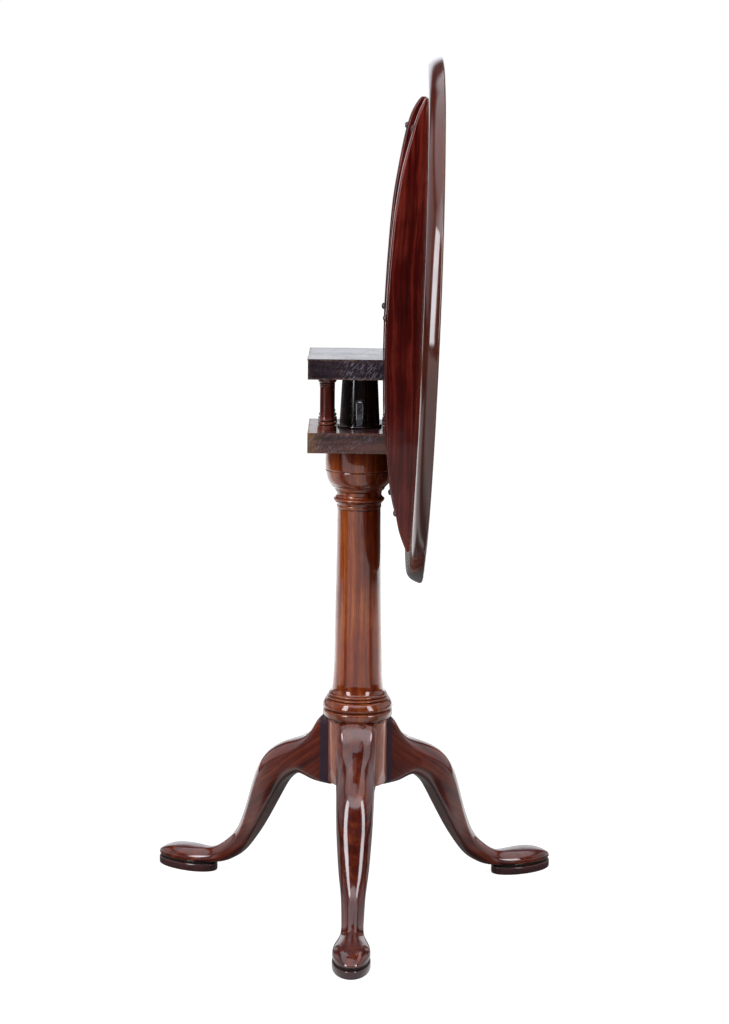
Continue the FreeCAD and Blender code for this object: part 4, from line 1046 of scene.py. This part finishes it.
def screw_tree():
    """Slotted screw heads on points: a low dome with a slot turned at random."""
    inputs = {
        "Head": ("NodeSocketFloat", SCREW_HEAD),
        "Height": ("NodeSocketFloat", SCREW_HEIGHT),
        "Facing": ("NodeSocketVector", (0.0, 0.0, 0.0)),
        "Seed": ("NodeSocketInt", 3),
    }
    tree, board, given = new_geometry_tree("slotted_screws", inputs)
    radius, height = given["Head"], given["Height"]
    ball = board.node("GeometryNodeMeshUVSphere", {"Segments": 40, "Rings": 24, "Radius": 1.0})
    x, y, z = board.parts(board.node("GeometryNodeInputPosition"))
    dome = z.most(0.0) * height + z.least(0.0) * 0.8
    shape = board.node("ShaderNodeCombineXYZ", {"X": x * radius, "Y": y * radius, "Z": dome})
    ball = board.node("GeometryNodeSetPosition", {"Geometry": ball, "Position": shape})
    blade = board.node("ShaderNodeCombineXYZ", {"X": radius * 3, "Y": radius * 0.24, "Z": height})
    cutter = board.node("GeometryNodeMeshCube", {"Size": blade})
    raised = board.node("ShaderNodeCombineXYZ", {"Z": height * 0.95})
    cutter = board.node("GeometryNodeTransform", {"Geometry": cutter, "Translation": raised})
    head = board.node("GeometryNodeMeshBoolean", {0: ball, 1: cutter}, operation="DIFFERENCE")
    turns = {0: (0, 0, 0), 1: (0, 0, math.pi), "Seed": given["Seed"]}
    spin = board.node("FunctionNodeRandomValue", turns, data_type="FLOAT_VECTOR")
    sockets = {"Points": given["Geometry"], "Instance": head, "Rotation": given["Facing"]}
    spread = board.node("GeometryNodeInstanceOnPoints", sockets)
    sockets = {"Instances": spread, "Rotation": spin, "Local Space": True}
    give_out(board, board.node("GeometryNodeRotateInstances", sockets), given["Material"])
    return tree


def make_colonnettes():
    mesh = repeated("colonnettes", colonnette_tree(), COLONNETTE_PLACES, {"Material": colonnette_wood})
    outward(mesh)
    nodes = [f"colonnette_{end}_{side}" for end in ("front", "back") for side in ("left", "right")]
    finish_piece("colonnettes_turned", mesh, "cage", "mahogany", colonnette_wood, *nodes)


# Top
def make_top():
    """The round top, its rim rounded away underneath and less on its face."""
    face = UNDERSIDE + TOP_THICKNESS
    section = [(TOP_RADIUS - inset * RIM_ROUND, UNDERSIDE + up * TOP_THICKNESS) for inset, up in RIM_SHARES]
    rounding = [tuple(point) for point in spline(section, step=0.9)]
    under = [(radius, UNDERSIDE) for radius in np.linspace(0, rounding[0][0], UNDER_RINGS)]
    over = [(radius, face) for radius in np.linspace(rounding[-1][0], 0, FACE_RINGS)]
    mesh = turned("tabletop", np.array(under[:-1] + rounding + over[1:]), segments=256)
    mesh.transform(Matrix.Translation((-HINGE.x, 0, 0)))
    hand_worked(mesh, amount=0.1, length=55.0, seed=8)
    finish_piece("tabletop_turned", mesh, "top", "mahogany", top_wood, "tabletop", level=True)


def bow_of(end):
    """A bearer's bow as a function: its depth at a place along it from its middle."""
    points = [(along * BEARER_LENGTH / 2, deep * BEARER_DEPTH) for along, deep in BOW_SHARES[end]]
    line = spline(points, step=1.0)
    return lambda place: float(np.interp(abs(place), line[:, 0], line[:, 1]))


def bearer_ring(place, side, depth):
    """The ring of points round a bearer at one place along it."""
    arris = min(BEARER_ARRIS, depth / 2)
    low = UNDERSIDE - depth
    inner, outer = BEARER_INNER, BEARER_INNER + BEARER_THICKNESS
    down = np.linspace(0, depth - arris, BEARER_SIDE_POINTS)
    section = [(inner, UNDERSIDE - fall) for fall in down[:-1]]
    turns = np.linspace(0, math.pi / 2, BEARER_SIDE_POINTS)
    bends = [(arris * (1 - math.cos(turn)), arris * (1 - math.sin(turn))) for turn in turns]
    section += [(inner + wide, low + deep) for wide, deep in bends]
    section += [(inner + share * BEARER_THICKNESS, low) for share in (0.25, 0.5, 0.75)]
    section += [(outer - deep, low + wide) for wide, deep in bends]
    section += [(outer, UNDERSIDE - fall) for fall in down[-2::-1]]
    section += [(outer - share * BEARER_THICKNESS, UNDERSIDE) for share in (0.33, 0.67)]
    return [(place - HINGE.x, side * y, z) for y, z in section]


def set_screws(node, tree, points, body, slot_name, material, values, level=True):
    """Screw heads on points. On the level top they face down, unless values say otherwise."""
    values = {"Facing": (math.pi, 0.0, 0.0), "Material": material, **values}
    heads = repeated(node, tree, points, values)
    finish_piece(f"{node}_turned", heads, body, slot_name, material, node, level=level, relief=False)


def make_bearers():
    half = BEARER_LENGTH / 2
    middle = BEARER_INNER + BEARER_THICKNESS / 2
    screws = screw_tree()
    for side, end in ((-1, "near"), (1, "far")):
        depth = bow_of(end)
        along = half * np.sin(np.linspace(-math.pi / 2, math.pi / 2, BEARER_STATIONS))
        mesh = ringed(f"bearer_{end}", [bearer_ring(place, side, depth(place)) for place in along])
        hand_worked(mesh, amount=0.12, length=40.0, seed=12 + side)
        seats = [
            (share * half - HINGE.x, side * middle, UNDERSIDE - depth(abs(share) * half + SCREW_HEAD / 2))
            for share in BEARER_SCREW_SHARES
        ]
        below = UNDERSIDE - BEARER_DEPTH - 10
        cutters = [rod("seat", SCREW_HEAD + 0.1, below, height, (x, y, 0)) for x, y, height in seats]
        hole = rod("pintle_hole", PINTLE_RADIUS, BEARER_INNER - 1, BEARER_INNER + PINTLE_DEPTH, (0, 0, 0))
        hole.transform(Matrix.Rotation(-side * math.pi / 2, 4, "X"))
        mesh = carved(mesh, cutters + [hole])
        finish_piece(f"bearer_{end}_sawn", mesh, "top", "mahogany", bearer_wood, f"bearer_{end}", level=True)
        set_screws(f"bearer_screws_{end}", screws, seats, "top", "iron", iron, {"Seed": 5 + side})
    return screws


# Catch
def make_catch(screws):
    for name, body, arris in (
        ("catch_case", "top", 0.4), ("catch_bolt", "catch_bolt", 0.5), ("keeper_plate", "cage", 0.2),
    ):
        mesh = sawn_copy(name, arris)
        finish_piece(f"{name}_cast", mesh, body, "brass", brass, name, sharp=0, relief=False)
    outline = [(KNOB_RADIUS * out, KNOB_TOP - KNOB_HEIGHT * down) for down, out in KNOB_SHARES]
    neck, head = outline[:3], spline(outline[3:], step=0.4)
    mesh = turned("catch_knob", eased_corners(np.concatenate([neck, head]), radius=0.2), segments=64)
    mesh.transform(Matrix.Translation((KNOB_X, 0, 0)))
    node = "catch_knob"
    finish_piece(f"{node}_turned", mesh, "catch_bolt", "brass", brass, node, level=True, relief=False)
    small = {"Head": SMALL_SCREW_HEAD, "Height": SMALL_SCREW_HEIGHT}
    set_screws("catch_screws", screws, CASE_SCREW_PLACES, "top", "brass", brass, {"Seed": 9, **small})
    small = {"Facing": (0.0, -math.pi / 2, 0.0), "Seed": 2, **small}
    set_screws("keeper_screws", screws, KEEPER_SCREW_PLACES, "cage", "brass", brass, small, level=False)


# Studio
CAMERA_PLACE = Vector((-0.007812, -3.14368, 1.0602))
CAMERA_PITCH = 10.071
CAMERA_YAW = 0.278
CAMERA_ROLL = 0.695
CAMERA_LENS = 90.06
SENSOR_WIDTH = 36
FLOOR_REACH = 8.0
CARD_EDGE = 0.12
BRIGHT = (1.0, 1.0, 1.0)
COOL = (0.92, 0.94, 1.0)
# Azimuths run from the front, positive to the right, and lengths are in metres.
# Lamps: azimuth, distance, height, width, tallness, power and the tilt of their aim below level
SOFTBOXES = {
    "softbox_left": (-58.0, 2.55, 1.75, 0.66, 2.2, 60.0, 0.0),
    "softbox_right": (50.0, 2.55, 1.6, 0.5, 2.2, 40.0, 0.0),
    "softbox_over": (0.0, 0.85, 2.6, 1.8, 1.0, 38.0, 70.0),
}
# Cards: azimuth, distance, lower edge, upper edge, width and strength
CARDS = {
    "card_left": (-44.0, 3.5, 0.5, 3.7, 1.3, 12.0),
    "card_right": (44.0, 3.5, 0.5, 3.7, 1.2, 10.0),
}


def make_camera():
    pitch, yaw, roll = (math.radians(angle) for angle in (CAMERA_PITCH, CAMERA_YAW, CAMERA_ROLL))
    lens = bpy.data.cameras.new("camera")
    lens.lens = CAMERA_LENS
    lens.sensor_width = SENSOR_WIDTH
    lens.sensor_fit = "AUTO"
    camera = placed("camera", lens)
    stand = Matrix.Translation(CAMERA_PLACE) @ Matrix.Rotation(-yaw, 4, "Z")
    nod = Matrix.Rotation(math.pi / 2 - pitch, 4, "X")
    camera.matrix_world = stand @ nod @ Matrix.Rotation(roll, 4, "Z")
    bpy.context.scene.camera = camera


def around(azimuth, distance, height):
    swing = math.radians(azimuth)
    return Vector((distance * math.sin(swing), -distance * math.cos(swing), height))


def make_softbox(name, azimuth, distance, height, width, tall, power, tilt):
    """A soft lamp that faces the table, itself unseen in the polish."""
    light = bpy.data.lights.new(name, "AREA")
    light.shape = "RECTANGLE"
    light.size = width
    light.size_y = tall
    light.energy = power
    lamp = placed(name, light)
    lamp.location = around(azimuth, distance, height)
    aim = Vector((0, 0, height - math.tan(math.radians(tilt)) * distance)) - lamp.location
    lamp.rotation_euler = aim.to_track_quat("-Z", "Y").to_euler()
    lamp.visible_glossy = False


def staged_sheet(name, corners, material):
    """A four-cornered sheet that belongs to the studio."""
    mesh = bpy.data.meshes.new(name)
    mesh.from_pydata(corners, [], [(0, 1, 2, 3)])
    mesh.materials.append(material)
    sheet = placed(name, mesh)
    return sheet


def make_card(name, azimuth, distance, low, high, width, strength):
    """A tall bright card with soft edges that only the polish reflects."""
    half = width / 2
    material, board = new_material(name)
    x, _, z = board.parts(board.place())
    upright = z.band((low, low + CARD_EDGE), (high - CARD_EDGE * 2, high))
    board.surface(board.glow(COOL, abs(x).fade(half * 0.6, half) * upright * strength))
    card = staged_sheet(name, [(-half, 0, low), (half, 0, low), (half, 0, high), (-half, 0, high)], material)
    card.location = around(azimuth, distance, 0)
    card.rotation_euler = (0, 0, math.radians(azimuth))
    card.visible_camera = False
    card.visible_diffuse = False
    card.visible_shadow = False


def make_world():
    """White for the camera; reflections show the white back and ceiling and a dark room in front."""
    world = bpy.data.worlds.new("studio")
    bpy.context.scene.world = world
    world.use_nodes = True
    board = Board(world.node_tree)
    x, y, z = board.parts(board.place("Generated"))
    aside = abs(x)
    azimuth = x.maths("ARCTAN2", x, -y) * (180 / math.pi)
    rise = z.maths("ARCSINE", z) * (180 / math.pi)
    over = abs(azimuth).fade(40.0, 70.0) * rise.ramp(35.0, 41.0) * rise.ramp(49.0, 64.0, 3.2, 1.5)
    low_back = y.ramp(0.25, 0.45) * aside.fade(0.32, 0.5) * z.ramp(0.22, 0.42, 1.25, 0.0)
    walls = aside.ramp(0.55, 0.7, 0.0, 0.8) * y.ramp(-0.4, -0.1) * z.band((0.0, 0.12), (0.55, 0.7))
    high_back = aside.fade(0.25, 0.4) * y.ramp(-0.1, 0.1) * z.ramp(0.56, 0.68)
    ceiling = high_back.most(z.ramp(0.68, 0.8)) * 1.5
    white = low_back.most(ceiling).most(walls).most(over)
    camera_ray, mirror_ray = board.rays()
    lighting = (1 - camera_ray.most(mirror_ray)) * (0.02 + y.ramp(-0.1, 0.5) * 0.24 + z.ramp(0.5, 1.0) * 0.15)
    strength = camera_ray.most(mirror_ray * (0.02 + white)).most(lighting)
    tint = board.colour(BRIGHT, COOL, mirror_ray)
    shown = board.node("ShaderNodeBackground", {"Color": tint, "Strength": strength})
    board.node("ShaderNodeOutputWorld", {"Surface": shown})


def make_floor():
    """A white floor that keeps the table's shadow. The polish sees it lit in front, at the sides
    and behind, but for a painted shadow of the table in a lane from the table backwards."""
    material, board = new_material("floor_paper")
    x, y, _ = board.parts(board.place())
    aside = abs(x)
    away = (x * x + y * y) ** 0.5
    back = y / away.most(0.01)
    beside = aside.fade(1.9, 2.4) * back.ramp(-0.45, -0.1, 0.1, 1.0)
    front = (-y - aside * 0.55).ramp(0.0, 0.35).most(beside) * y.ramp(-4.4, -4.1)
    behind = back.ramp(0.15, 0.6) * aside.ramp(2.6, 3.6, 1.8, 0.0)
    # A painted shadow of the table, only in what the polish reflects
    shaded = y.band((-0.02, 0.06), (2.6, 3.4)) * aside.fade(0.28, 0.4)
    lit = front.most(behind) * (1 - shaded * 0.93)
    camera_ray, mirror_ray = board.rays()
    paper = board.node("ShaderNodeBsdfDiffuse", {"Color": (0.22, 0.22, 0.22, 1)})
    glow = board.glow(BRIGHT, camera_ray * (0.93 + away.ramp(0.6, 2.0) * 0.07))
    seen = board.node("ShaderNodeAddShader", {0: paper, 1: glow})
    mirrored = board.glow(BRIGHT, 0.02 + lit * 0.98)
    board.surface(board.node("ShaderNodeMixShader", {0: mirror_ray, 1: seen, 2: mirrored}))
    corners = [(x * FLOOR_REACH, y * FLOOR_REACH, 0) for x, y in ((-1, -1), (1, -1), (1, 1), (-1, 1))]
    staged_sheet("floor", corners, material)


make_camera()
make_world()
make_floor()
for name, row in SOFTBOXES.items():
    make_softbox(name, *row)
for name, row in CARDS.items():
    make_card(name, *row)
bpy.context.scene.view_settings.view_transform = "Standard"

make_pillar()
make_spigot()
make_collar_ring()
make_legs()
make_blocks()
make_colonnettes()
make_top()
make_catch(make_bearers())
